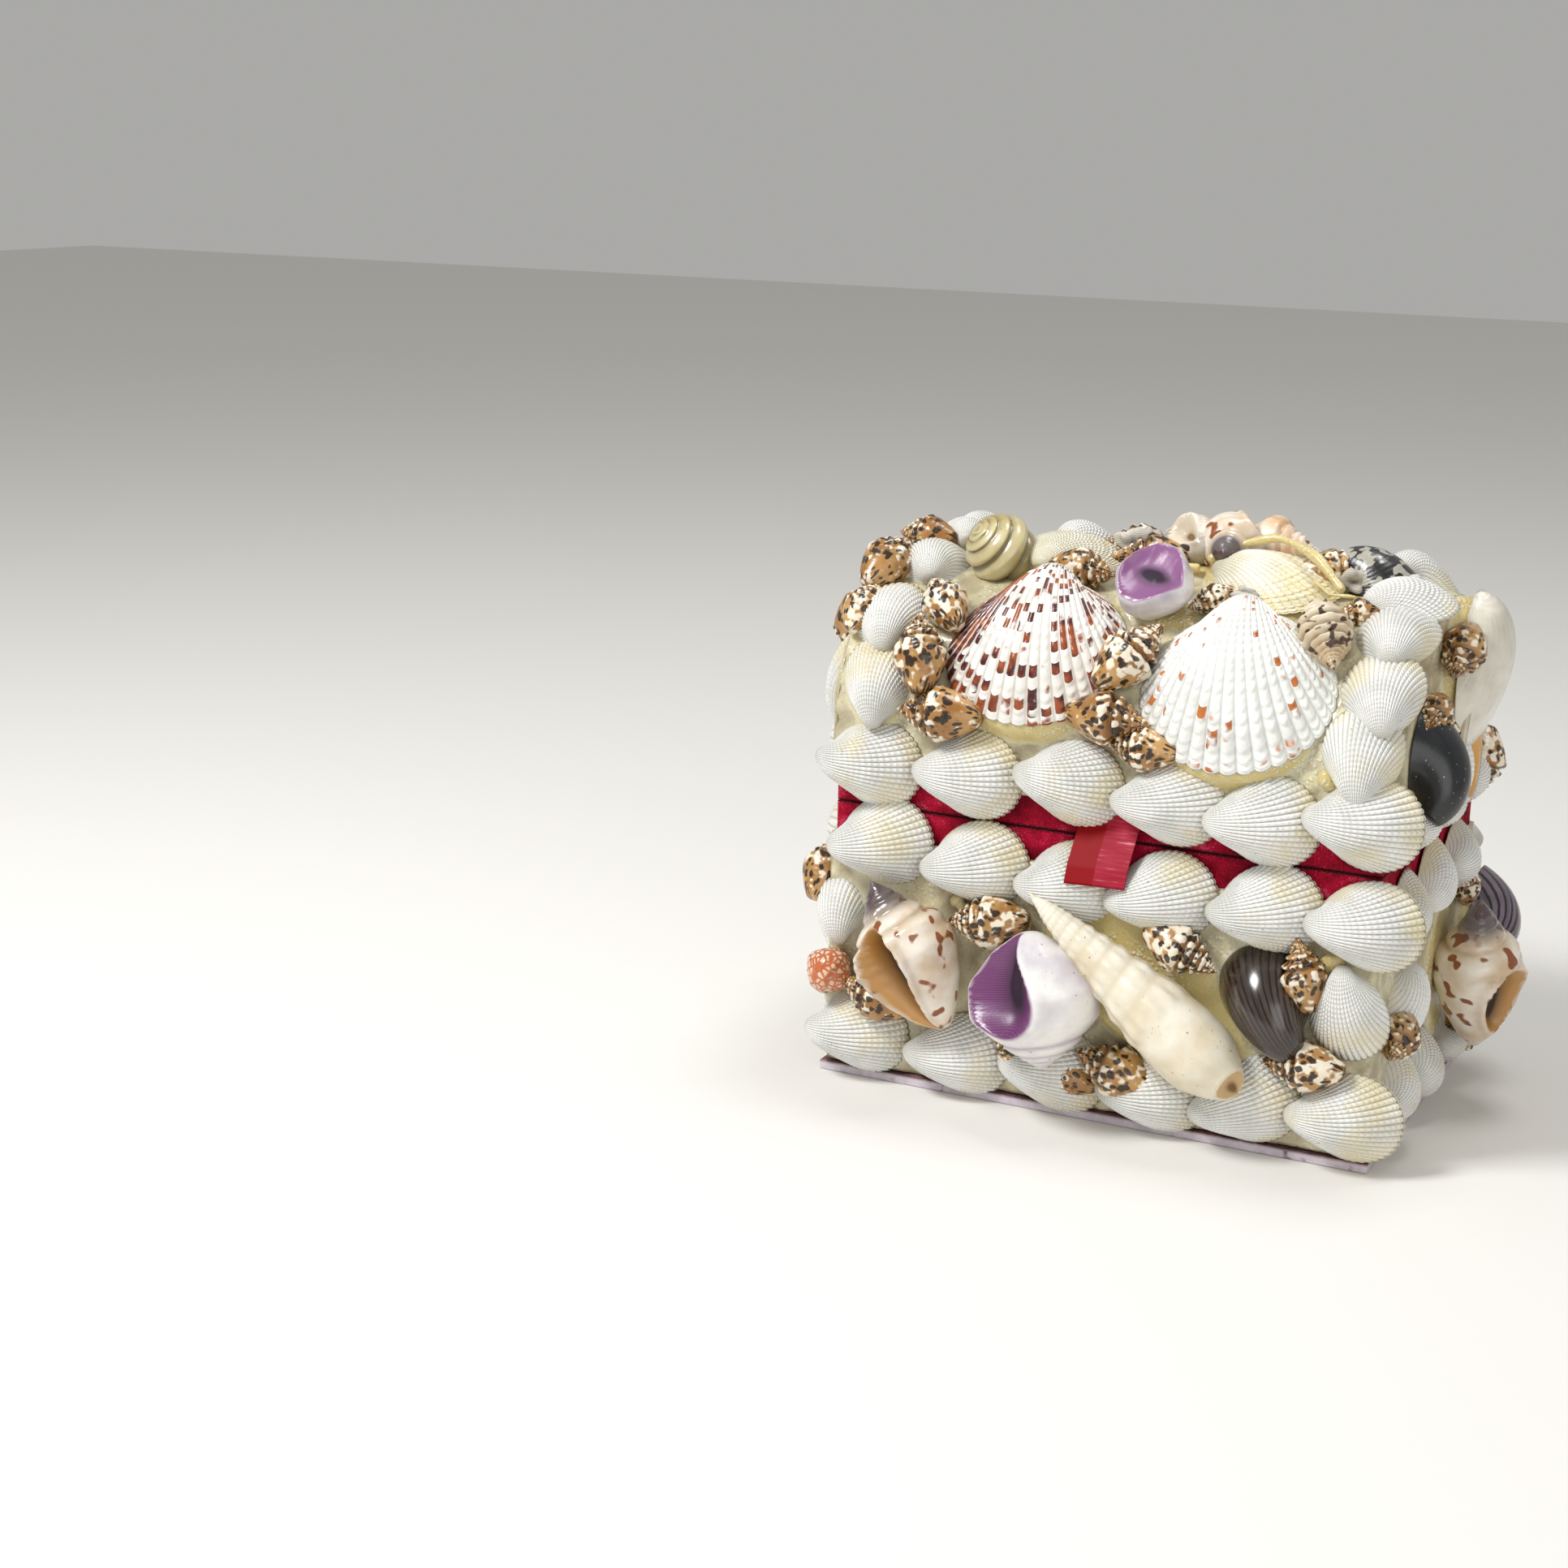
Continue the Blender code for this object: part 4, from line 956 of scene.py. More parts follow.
# Turret snail, pale, with dark brown painted shade in the sutures between its whorls
BANDED_TURRET = ShellFinish(
    "turret_lime_dark_banded", "#E4D8C0", "#C6AE8A", "#2E1C12", mark="#4A3222", pattern=Pattern.DASHES,
    amount=0.8, mark_size=0.8, growth_lines=14, relief=0.25,
)
# Bits of coral and pumice, bleached, with grey painted shade in the low places of their bumps
BLEACHED_CORAL = ShellFinish(
    "coral_bits_bleached", "#D6D2C8", "#A69E90", "#5A5348", mark="#6A6054", amount=0.9, roughness=0.7,
    coat=0.0, relief=0.5,
)


@dataclass(frozen=True)
class VelvetFinish:
    """Crimson cotton velvet glued over card: short mottled pile with painted highlight specks, rubbed pale beside the
    seam, and painted shade in the seam where the folded edges meet.
    """

    name: str = "cotton_velvet_crimson_glued"

    def build(self) -> bpy.types.Material:
        """Make the material: mottled pile with painted highlight specks at its lightest, rubbed pale beside the seam,
        and painted shade in the seam itself.
        """
        tree = Tree(self.name)
        pile = tree.noise(tree.place, 0.5, 3.0)
        nap_and_sheen = tree.sum("MULTIPLY_ADD", pile, 0.6, tree.noise(tree.place, 7, 5.0))
        # Mottled pile tone; its lightest pink stop paints highlight specks on the pile.
        colour = tree.ramp(nap_and_sheen, (0.6, "#5E0616"), (0.8, "#960C28"), (0.93, "#B4183A"), (1.0, "#C84A62"))
        from_seam = tree.sum("SUBTRACT", tree.axis(tree.place, "Z"), SEAM_HEIGHT)
        off_seam = tree.sum("ABSOLUTE", from_seam)
        worn = tree.sum("MULTIPLY", tree.span(off_seam, 2.4 * MM, 0.3 * MM), pile)
        colour = tree.mix(tree.span(worn, 0.46, 0.7, to_high=0.75), colour, "#D8737C")
        # Painted shade: a dark band along the seam, where the gap between lid and base falls into shade.
        colour = tree.mix(tree.span(off_seam, 0.8 * MM, 0.4 * MM, to_high=0.85), colour, "#2E040C")
        return tree.done({
            "Base Color": colour,
            "Roughness": 0.85,
            "Specular IOR Level": 0.1,
            "Sheen Weight": 0.04,
            "Sheen Tint": linear("#E8506A"),
            "Normal": tree.bump(nap_and_sheen, 0.6, 0.4),
        })


@dataclass(frozen=True)
class CardFinish:
    """Grey card under lilac paper, its edge scuffed to brown-red where cloth was glued."""

    name: str = "grey_card_paper_covered"

    def build(self) -> bpy.types.Material:
        """Make the material: lilac-grey paper with dark scuffs along its upper edge."""
        tree = Tree(self.name)
        scuff = tree.noise(tree.place, 5, 6.0, Roughness=0.65)
        paper = tree.ramp(scuff, (0.3, "#6E5158"), (0.4, "#C4B8C2"), (0.75, "#E2DAE2"))
        edge = tree.ramp(scuff, (0.4, "#3C1E22"), (0.6, "#7A4446"), (0.7, "#A58A84"))
        upper = tree.span(tree.axis(tree.place, "Z"), 1.7 * MM, 2.45 * MM, to_high=0.9)
        return tree.done({
            "Base Color": tree.mix(upper, paper, edge),
            "Roughness": 0.6,
            "Normal": tree.bump(tree.noise(tree.place, 0.8, 2.0), 0.4, 0.1),
        })


@dataclass(frozen=True)
class RibbonFinish:
    """Woven satin ribbon, bright red, its right half dulled by a strip of clear tape."""

    name: str = "satin_ribbon_red_taped"

    def build(self) -> bpy.types.Material:
        """Make the material: fine weft across the ribbon, scratches on the taped half."""
        tree = Tree(self.name)
        stretch = {"Vector": tree.place, "Scale": (120.0, 400.0, 1500.0), "Rotation": (0.0, 0.12, 0.0)}
        scratch = tree.noise(tree.add("Mapping", stretch).outputs["Vector"], 1000, 4.0)
        tape = tree.ramp(scratch, (0.42, "#98142A"), (0.62, "#A8263C"), (0.78, "#D08C94"))
        taped = tree.span(tree.axis(tree.growth, "X"), 0.46, 0.48)
        return tree.done({
            "Base Color": tree.mix(taped, "#8C000A", tape),
            "Roughness": 0.5,
            "Specular IOR Level": 0.15,
            "Normal": tree.bump(tree.waves(40.0, 0.4), 0.3, 0.06),
        })


@dataclass(frozen=True)
class GlueFinish:
    """Clear craft glue that set yellow: glassy and amber where thick, frothy with sand in the gaps, and painted darker
    as shade where it is a thin film between the shells.
    """

    name: str = "craft_glue_set_yellowed"

    @cache
    def build(self) -> bpy.types.Material:
        """Make the material once: amber in thick places, painted shade on the thin film between shells, pale froth with
        specks of sand.
        """
        tree = Tree(self.name)
        slow = tree.noise(tree.place, 12, 3.0)
        froth = tree.noise(tree.place, 0.9, 3.0)
        body = tree.sum("MULTIPLY_ADD", tree.mark("thick"), 0.6, slow)
        # Painted shade: by the thickness mark, the thin film between the shells turns darker grey-brown as shade in the
        # crevices; the pale and amber stops where it is thick are the glue's own colour.
        colour = tree.ramp(body, (0.3, "#A3967A"), (0.5, "#BDB292"), (0.74, "#DCD4B4"), (1.0, "#D2C084"))
        colour = tree.mix(tree.span(froth, 0.6, 0.74, to_high=0.5), colour, "#8A7650")
        bead = tree.span(tree.cells(tree.place, 1.4), 0.5, 0.2, to_high=0.8)
        bead = tree.sum("MULTIPLY", bead, tree.span(slow, 0.5, 0.64, 0.1))
        return tree.done({
            "Base Color": tree.mix(bead, colour, "#EFE8CE"),
            "Roughness": 0.32,
            "Subsurface Weight": 0.35,
            "Subsurface Radius": (1.0, 0.75, 0.4),
            "Subsurface Scale": 0.003,
            "Coat Weight": 0.4,
            "Coat Roughness": 0.12,
            "Normal": tree.bump(tree.sum("MULTIPLY_ADD", froth, 0.4, bead), 0.7, 0.7),
        })


CRAFT_GLUE = GlueFinish()

# Profiles of snails: share of the length from the tip, and radius as a share of it
DOVE_PROFILE = (
    (0, 0), (0.08, 0.06), (0.26, 0.17), (0.38, 0.245), (0.5, 0.285), (0.64, 0.275), (0.8, 0.205), (0.93, 0.13),
    (1, 0.08),
)
CERITH_PROFILE = (
    (0, 0), (0.1, 0.035), (0.3, 0.075), (0.55, 0.118), (0.72, 0.14), (0.84, 0.135), (0.94, 0.085), (1, 0.03),
)
GLOBE_PROFILE = ((0, 0), (0.06, 0.1), (0.2, 0.28), (0.4, 0.45), (0.62, 0.45), (0.85, 0.27), (1, 0.06))
COILED_PROFILE = (
    (0, 0), (0.04, 0.16), (0.12, 0.31), (0.26, 0.45), (0.45, 0.52), (0.7, 0.46), (0.9, 0.3), (1, 0.12),
)
CONCH_PROFILE = ((0, 0), (0.1, 0.09), (0.22, 0.17), (0.34, 0.3), (0.5, 0.32), (0.72, 0.24), (0.9, 0.13), (1, 0.03))
WHELK_PROFILE = ((0, 0), (0.12, 0.13), (0.28, 0.21), (0.42, 0.32), (0.6, 0.34), (0.84, 0.19), (1, 0.05))

DOVE_SNAIL = Snail(
    DOVE, DOVE_PROFILE, growth=1.4, groove=0.3, smooth_from=0.5, knobs=11, knob_height=0.12, knobs_until=0.72,
    cords=17, axis_height=0.235, rows=50, cols=44,
)
CERITH_SNAIL = Snail(
    CERITH, CERITH_PROFILE, growth=1.24, groove=0.012, smooth_from=0.6, knobs=12, knob_height=0.085,
    knobs_until=0.66, axis_height=0.115, mouth=Mouth(0.97, 150, 0.035, 60, 0.5, 0.05), rows=120, cols=72,
)
CONCH_SNAIL = Snail(
    CONCH, CONCH_PROFILE, groove=0.14, smooth_from=0.42, flatten=0.9,
    mouth=Mouth(0.62, 197, 0.36, 27, 0.7, 0.2, slant=24), rows=90, cols=96,
)
END_CONCH_SNAIL = replace(
    CONCH_SNAIL, flatten=0.85, mouth=Mouth(0.62, 205, 0.22, 36, 0.5, 0.1), rows=70, cols=72
)
VIOLET_SNAIL = Snail(
    VIOLET, GLOBE_PROFILE, growth=1.7, groove=0.1, smooth_from=0.34, axis_height=0.33, flatten=0.85,
    mouth=Mouth(0.66, 146, 0.34, 46, 0.62, 0.07, slant=-40), rows=90, cols=96,
)
SMALL_VIOLET_SNAIL = Snail(
    MOON, GLOBE_PROFILE, growth=1.8, groove=0.08, smooth_from=0.3, axis_height=0.33, flatten=0.85,
    mouth=Mouth(0.56, 196, 0.36, 62, 0.62, 0.05), rows=70, cols=80,
)
COILED_SNAIL = Snail(
    COILED, COILED_PROFILE, growth=2.1, groove=0.2, smooth_from=0.8, axis_height=0.3, flatten=0.95, rows=70, cols=72
)
WHELK_SNAIL = Snail(
    WHELK, WHELK_PROFILE, groove=0.16, smooth_from=0.45, axis_height=0.25, mouth=Mouth(0.66, 235, 0.24, 36, 0.55, 0.14)
)
NETTED_SNAIL = Snail(NETTED, GLOBE_PROFILE, growth=1.8, groove=0.08, smooth_from=0.4, axis_height=0.33, rows=50)
TURRET_SNAIL = replace(
    DOVE_SNAIL, length=1.15 * DOVE, growth=1.28, groove=0.4, smooth_from=0.75, knob_height=0.08, rows=80
)
SCALLOP_VALVE = Valve(
    SCALLOP, breadth=1.12, curl=1.0, ribs=40, rib_height=0.04, pointed=0.05, flatten=0.78, bead_rows=44, rows=92,
    steps_per_rib=6,
)
BACK_SCALLOP_VALVE = replace(
    SCALLOP_VALVE, length=0.78 * SCALLOP, breadth=1.06, ribs=44, bead_rows=46, steps_per_rib=4
)
COCKLE_VALVE = Valve(COCKLE, rows=20)
SMALL_COCKLE_VALVE = Valve(SMALL_COCKLE, ribs=40, rows=19)
HIDDEN_COCKLE_VALVE = Valve(LARGE_COCKLE, ribs=30, rows=12)
END_COCKLE_VALVE = Valve(SMALL_COCKLE, ribs=32, rows=15)
NERITE_VALVE = Valve(NERITE, breadth=0.93, curl=0.5, ribs=16, rib_height=0.0, pointed=0.06, rows=26)
SMALL_NERITE_VALVE = replace(NERITE_VALVE, length=0.95 * NERITE)
OYSTER_VALVE = Valve(OYSTER, breadth=0.98, curl=1.5, ribs=20, rib_height=0.0, frill=0.012, rows=30)
MUSSEL_BOWL = Bowl(0.8 * OYSTER, breadth=0.66, depth=0.12)


@dataclass(frozen=True)
class SingleShell:
    """A shell that is a piece of its own: its node, shape, finish, slot and place."""

    node: str
    shape: Valve | Snail | Bowl
    finish: ShellFinish
    slot: Slot
    place: Place
    hue: float = 0.3


@dataclass
class SingleShells:
    """The larger shells and the rows of white cockles, each one a piece.

    The rows are across, up and turn of each cockle.
    """

    front_lift: float = SEAT
    vault_lift: float = SEAT - SINK
    rim_row: tuple = ((-84, 59, -2), (-46, 58, -2), (-8, 66, -8), (28, 60, 3), (61, 52, 4), (95, 66, -2))
    upper_row: tuple = ((-79, 88, 8), (-42, 85, 8), (-6, 84, 7), (27, 84, 10), (64, 85, 8), (98, 84, 1))
    lower_row: tuple = ((-86, 17, 1), (-46, 15, 2), (-9, 16, -4), (28, 15, 2), (61, 18, 20), (96, 18, 2))
    left_column: tuple = ((-86, 18, 100), (-88, 42, 103), (-84, 70, 110), (-84, 96, 115))
    right_column: tuple = ((91, 13, 93), (94, 34, 100), (92, 56, 98), (92, 74, 40))
    lean: float = 0.07
    breadth_spread: float = 0.03
    made: list[SingleShell] = field(default_factory=list)

    def rows(self) -> list[SingleShell]:
        """The cockles that stand in rows, named by row and number, no two quite alike."""
        plans = (
            ("lid_rim_cockle", Face.RIM_FRONT, self.rim_row, COCKLE_VALVE, self.front_lift),
            ("base_upper_cockle", Face.BASE_FRONT, self.upper_row, COCKLE_VALVE, self.front_lift),
            ("base_lower_cockle", Face.BASE_FRONT, self.lower_row, COCKLE_VALVE, self.front_lift),
            ("lid_left_cockle", Face.VAULT, self.left_column, SMALL_COCKLE_VALVE, self.vault_lift),
            ("lid_right_cockle", Face.VAULT, self.right_column, SMALL_COCKLE_VALVE, self.vault_lift),
        )
        shells = []
        for stem, face, places, valve, lift in plans:
            for number, (across, up, turn) in enumerate(places):
                hue = (number * 0.37 + len(stem) * 0.11) % 1
                breadth = valve.breadth + self.breadth_spread * math.sin(17 * hue)
                own = replace(valve, lean=self.lean * math.sin(9 * hue), breadth=breadth)
                place = Place(face, across, up, turn, lift)
                shells.append(SingleShell(f"{stem}_{number + 1}", own, WHITE_COCKLE, Slot.WHITE, place, hue))
        return shells

    def front(self) -> list[SingleShell]:
        """The larger shells on the front of the base."""
        face, lift = Face.BASE_FRONT, self.front_lift
        low = lift - SINK
        return [
            SingleShell("long_cerith", CERITH_SNAIL, CERITH_CREAM, Slot.CREAM, Place(face, 21, 53, -37, low + 2 * MM)),
            SingleShell("conch", CONCH_SNAIL, CONCH_CREAM, Slot.CREAM, Place(face, -63, 53, -58, low)),
            SingleShell("purple_mouth_snail", VIOLET_SNAIL, PURPLE_SNAIL, Slot.PURPLE, Place(face, -13, 45, 98, low)),
            SingleShell("brown_nerite", NERITE_VALVE, BROWN_NERITE, Slot.DARK, Place(face, 64, 56, 125, lift)),
            SingleShell(
                "base_side_cockle", SMALL_COCKLE_VALVE, WHITE_COCKLE, Slot.WHITE, Place(face, 93, 53, -82, lift), 0.55
            ),
        ]

    def lid(self) -> list[SingleShell]:
        """The larger shells on the front and top of the lid, from front to top."""

        def at(across: float, up: float, turn: float, raised: float = 0.0, tilt: float = 0.0) -> Place:
            """A place on the vault, raised by millimetres."""
            return Place(Face.VAULT, across, up, turn, self.vault_lift + raised * MM, tilt)

        wider = replace(SCALLOP_VALVE, length=1.02 * SCALLOP, ribs=36, rib_height=0.05)
        grey, broken, orange = (replace(WHELK_SNAIL, length=size * WHELK) for size in (1.25, 1.4, 1.2))
        turban = replace(NERITE_VALVE, length=0.85 * NERITE)
        return [
            SingleShell("lid_spotted_scallop", SCALLOP_VALVE, SPOTTED_SCALLOP, Slot.WHITE, at(-29, 35, -88), 0.2),
            SingleShell("lid_white_scallop", wider, ORANGE_SPOT_SCALLOP, Slot.WHITE, at(45, 29, -84), 0.6),
            SingleShell("lid_back_scallop_left", BACK_SCALLOP_VALVE, PLAIN_SCALLOP, Slot.WHITE, at(-38, 88, 85)),
            SingleShell(
                "lid_back_scallop_right", BACK_SCALLOP_VALVE, PLAIN_SCALLOP, Slot.WHITE, at(44, 76, -15, 1), 0.7
            ),
            SingleShell("lid_moon_snail", SMALL_VIOLET_SNAIL, MOON_SNAIL, Slot.PURPLE, at(7, 58, -20, 1)),
            SingleShell("lid_yellow_snail", COILED_SNAIL, YELLOW_SNAIL, Slot.CREAM, at(-63, 70, 35, 2, tilt=52)),
            SingleShell("top_grey_whelk", grey, GREY_WHELK, Slot.CREAM, at(8, 92, -60, 2), 0.1),
            SingleShell("top_broken_conch", broken, CONCH_CREAM, Slot.CREAM, at(22, 88, 100, 2), 0.5),
            SingleShell("top_orange_whelk", orange, ORANGE_WHELK, Slot.CREAM, at(35, 98, 170, 3), 0.8),
            SingleShell("top_black_turban", turban, BLACK_TURBAN, Slot.DARK, at(78, 88, 0), 0.4),
        ]

    def ends(self) -> list[SingleShell]:
        """The larger shells on the two ends."""

        def at(face: Face, across: float, up: float, turn: float, raised: float = 0.0) -> Place:
            """A place on an end, raised by millimetres."""
            return Place(face, across, up, turn, self.front_lift + raised * MM)

        gable, end = Face.GABLE_RIGHT, Face.BASE_RIGHT
        small, striped = SMALL_NERITE_VALVE, STRIPED_NERITE
        return [
            SingleShell("lid_black_nerite", NERITE_VALVE, BLACK_NERITE, Slot.DARK, at(gable, -60, 45, 60, 1)),
            SingleShell("lid_left_nerite", small, striped, Slot.DARK, at(Face.GABLE_LEFT, 30, 52, 100)),
            SingleShell("lid_right_oyster", OYSTER_VALVE, OYSTER_PEARL, Slot.WHITE, at(gable, 24, 69, -70, 4)),
            SingleShell("lid_right_mussel", MUSSEL_BOWL, MUSSEL_ORANGE, Slot.CREAM, at(gable, 10, 42, -80, 2)),
            SingleShell("base_right_conch", END_CONCH_SNAIL, CONCH_CREAM, Slot.CREAM, at(end, 25, 48, -80, 0.7), 0.9),
            SingleShell("base_right_nerite", small, striped, Slot.DARK, at(end, 90, 59, 30, 4)),
        ]

    def build(self) -> None:
        """Build every single shell and dress it in its finish."""
        self.made = self.rows() + self.front() + self.lid() + self.ends()
        for shell in self.made:
            skin = shell.shape.skin(shell.hue).placed(shell.place.matrix())
            add_piece(f"{shell.node}_shell", shell.node, skin, shell.finish.build())


@dataclass(frozen=True)
class Lump:
    """A crumb that lies in the glue: a ball stretched to its size, with an uneven skin."""

    place: Place
    size: tuple[float, float, float]
    roughness: float
    grain: float = 2.5 * MM
    rows: int = 30
    cols: int = 40

    def skin(self, hue: float) -> Skin:
        """Build the crumb: every radius is one plus smooth unevenness.

        Args:
            hue: number from 0 to 1 that varies the finish and the unevenness.

        Returns:
            The closed surface, at its place.
        """
        polar = (math.pi * np.linspace(0, 1, self.rows))[:, None]
        around = (math.tau * np.arange(self.cols) / self.cols)[None]
        ball = grid_points(np.sin(polar) * np.cos(around), np.sin(polar) * np.sin(around), np.cos(polar))
        half = np.array(self.size) * MM / 2
        bumps = ripple((ball * half).reshape(-1, 3), self.grain, int(97 * hue) + 3).reshape(self.rows, self.cols)
        rings = ball * half * (1 + self.roughness * bumps)[..., None]
        marks = shell_marks(bumps.shape, hue, np.clip(0.5 + 0.5 * bumps, 0, 1))
        return closed_rings(rings, marks).placed(self.place.matrix())


@dataclass(frozen=True)
class Rope:
    """A run of set glue over the shells: stations of across, up, lift and radius in mm."""

    face: Face
    stations: tuple[tuple[float, float, float, float], ...]
    rows: int = 60
    cols: int = 14
    easing: float = 0.07
    swell: float = 0.22

    def skin(self, hue: float) -> Skin:
        """Build the rope: rings round a path eased through its stations.

        The path is a mean of the straight runs, weighted by a bell of the way along.

        Args:
            hue: number from 0 to 1 that varies where the rope thickens.

        Returns:
            The closed surface.
        """
        table = np.array(self.stations)
        feet = np.array([Place(self.face, a, u, 0, lift * MM).matrix()[:3, 3] for a, u, lift, _ in self.stations])
        knots = np.linspace(0, 1, len(table))
        share = np.linspace(0, 1, self.rows)
        weight = np.exp(-(((share[:, None] - share[None]) / self.easing) ** 2))
        weight /= weight.sum(axis=1, keepdims=True)
        path = weight @ np.stack([np.interp(share, knots, feet[:, i]) for i in range(3)], axis=-1)
        radius = np.interp(share, knots, table[:, 3]) * MM * (1 + self.swell * np.sin(19 * share + 9 * hue))
        radius = radius * np.sqrt(np.clip(np.minimum(share, 1 - share) * 24, 0, 1))
        along = np.gradient(path, axis=0)
        along /= np.linalg.norm(along, axis=1, keepdims=True)
        side = np.cross(along, self.face.out_way)
        side /= np.linalg.norm(side, axis=1, keepdims=True)
        over = np.cross(side, along)
        around = (math.tau * np.arange(self.cols) / self.cols)[None, :, None]
        spokes = np.cos(around) * side[:, None] + np.sin(around) * over[:, None]
        rings = path[:, None] + radius[:, None, None] * spokes
        return closed_rings(rings, {"thick": np.ones((self.rows, self.cols))})


@dataclass
class Crumbs:
    """Runs and lumps of glue, bits of coral and a pumice disc, and two odd small snails.

    Each row starts with its node and face. A lump has across, up and its size in mm, and
    a bit of coral has its lift in mm too.
    """

    ropes: tuple = (
        (
            "lid_front",
            Face.VAULT,
            ((16, 78, 7, 1.2), (28, 83, 12, 1.1), (42, 83, 15, 1.1), (58, 76, 13, 1.3), (72, 67, 6, 1.5)),
        ),
        ("lid_front", Face.VAULT, ((-14, 76, 5, 0.8), (0, 78, 7, 0.7), (16, 79, 5, 1.0))),
        ("lid_front", Face.VAULT, ((58, 72, 8, 0.5), (66, 66, 7, 0.4), (76, 66, 7, 0.5))),
        ("lid_front", Face.VAULT, ((-56, 11, 3, 0.9), (-40, 12, 4, 0.8), (-24, 12, 3, 1.0))),
        ("base_front", Face.BASE_FRONT, ((-52, 73, 3, 1.6), (-46, 68, 4, 1.9), (-38, 72, 3, 1.3))),
    )
    amber: tuple = (
        ("base_right", Face.BASE_RIGHT, -94, 22, (6, 5, 5)),
        ("base_front", Face.BASE_FRONT, 86, 70, (7, 5, 4)),
        ("base_front", Face.BASE_FRONT, 46, 32, (6, 4, 4)),
        ("lid_front", Face.VAULT, 84, 78, (9, 6, 6)),
        ("lid_front", Face.VAULT, 80, 3, (6, 5, 4)),
        ("lid_right", Face.GABLE_RIGHT, -80, 30, (7, 6, 5)),
    )
    bits: tuple = (
        ("lid_front", Face.VAULT, 39, 60, (7, 6, 3.4), 8.0),
        ("lid_back", Face.VAULT, -13, 94, (15, 7, 8), 7.5),
        ("lid_back", Face.VAULT, -2, 95, (11, 8, 9), 7.5),
        ("lid_front", Face.VAULT, 56, 88, (8, 8, 8), 4.0),
        ("lid_front", Face.VAULT, 68, 82, (10, 8, 7), 5.0),
        ("lid_front", Face.VAULT, 88, 84, (8, 7, 6), 4.0),
    )
    netted: Place = Place(Face.BASE_FRONT, -98, 39, 150, 1 * MM)
    turret: Place = Place(Face.VAULT, 71, 48, 115)
    amber_lift: float = 2 * MM

    def build(self) -> None:
        """Build the crumbs, gathered by the node that they are part of."""
        runs: dict[str, list[Skin]] = {}
        stones: dict[str, list[Skin]] = {}
        for number, (node, face, stations) in enumerate(self.ropes):
            runs.setdefault(node, []).append(Rope(face, stations).skin(0.3 * number))
        for number, (node, face, across, up, size) in enumerate(self.amber):
            place = Place(face, across, up, 30 * number, self.amber_lift)
            skin = Lump(place, size, roughness=0.12).skin(0.17 * number)
            runs.setdefault(node, []).append(replace(skin, marks={"thick": np.ones(len(skin.points))}))
        for number, (node, face, across, up, size, lift) in enumerate(self.bits):
            place = Place(face, across, up, 40 * number, lift * MM)
            skin = Lump(place, size, roughness=0.3).skin((0.23 * number + 0.1) % 1)
            stones.setdefault(node, []).append(skin)
        netted = NETTED_SNAIL.skin(0.4).placed(self.netted.matrix())
        self.add("base_front", "netted_snail", netted, NET_SNAIL)
        turret = TURRET_SNAIL.skin(0.6).placed(self.turret.matrix())
        self.add("lid_front", "banded_turret", turret, BANDED_TURRET)
        for node, skins in runs.items():
            self.add(node, "shells_glue_runs", joined(skins), CRAFT_GLUE)
        for node, skins in stones.items():
            self.add(node, "shells_coral_bits", joined(skins), BLEACHED_CORAL)

    def add(self, side: str, kind: str, skin: Skin, finish: ShellFinish | GlueFinish) -> None:
        """Put gathered crumbs into the scene as part of the bed of their side."""
        add_piece(f"{side}_{kind}", f"{side}_shells", skin, finish.build())


def even_row(count: int, up: float, turn: float, span: float = 86) -> tuple:
    """Places set evenly across a face, nodding to and fro by turns."""
    step = 2 * span / (count - 1)
    return tuple((-span + step * i, up, turn + 4 * (-1) ** i) for i in range(count))


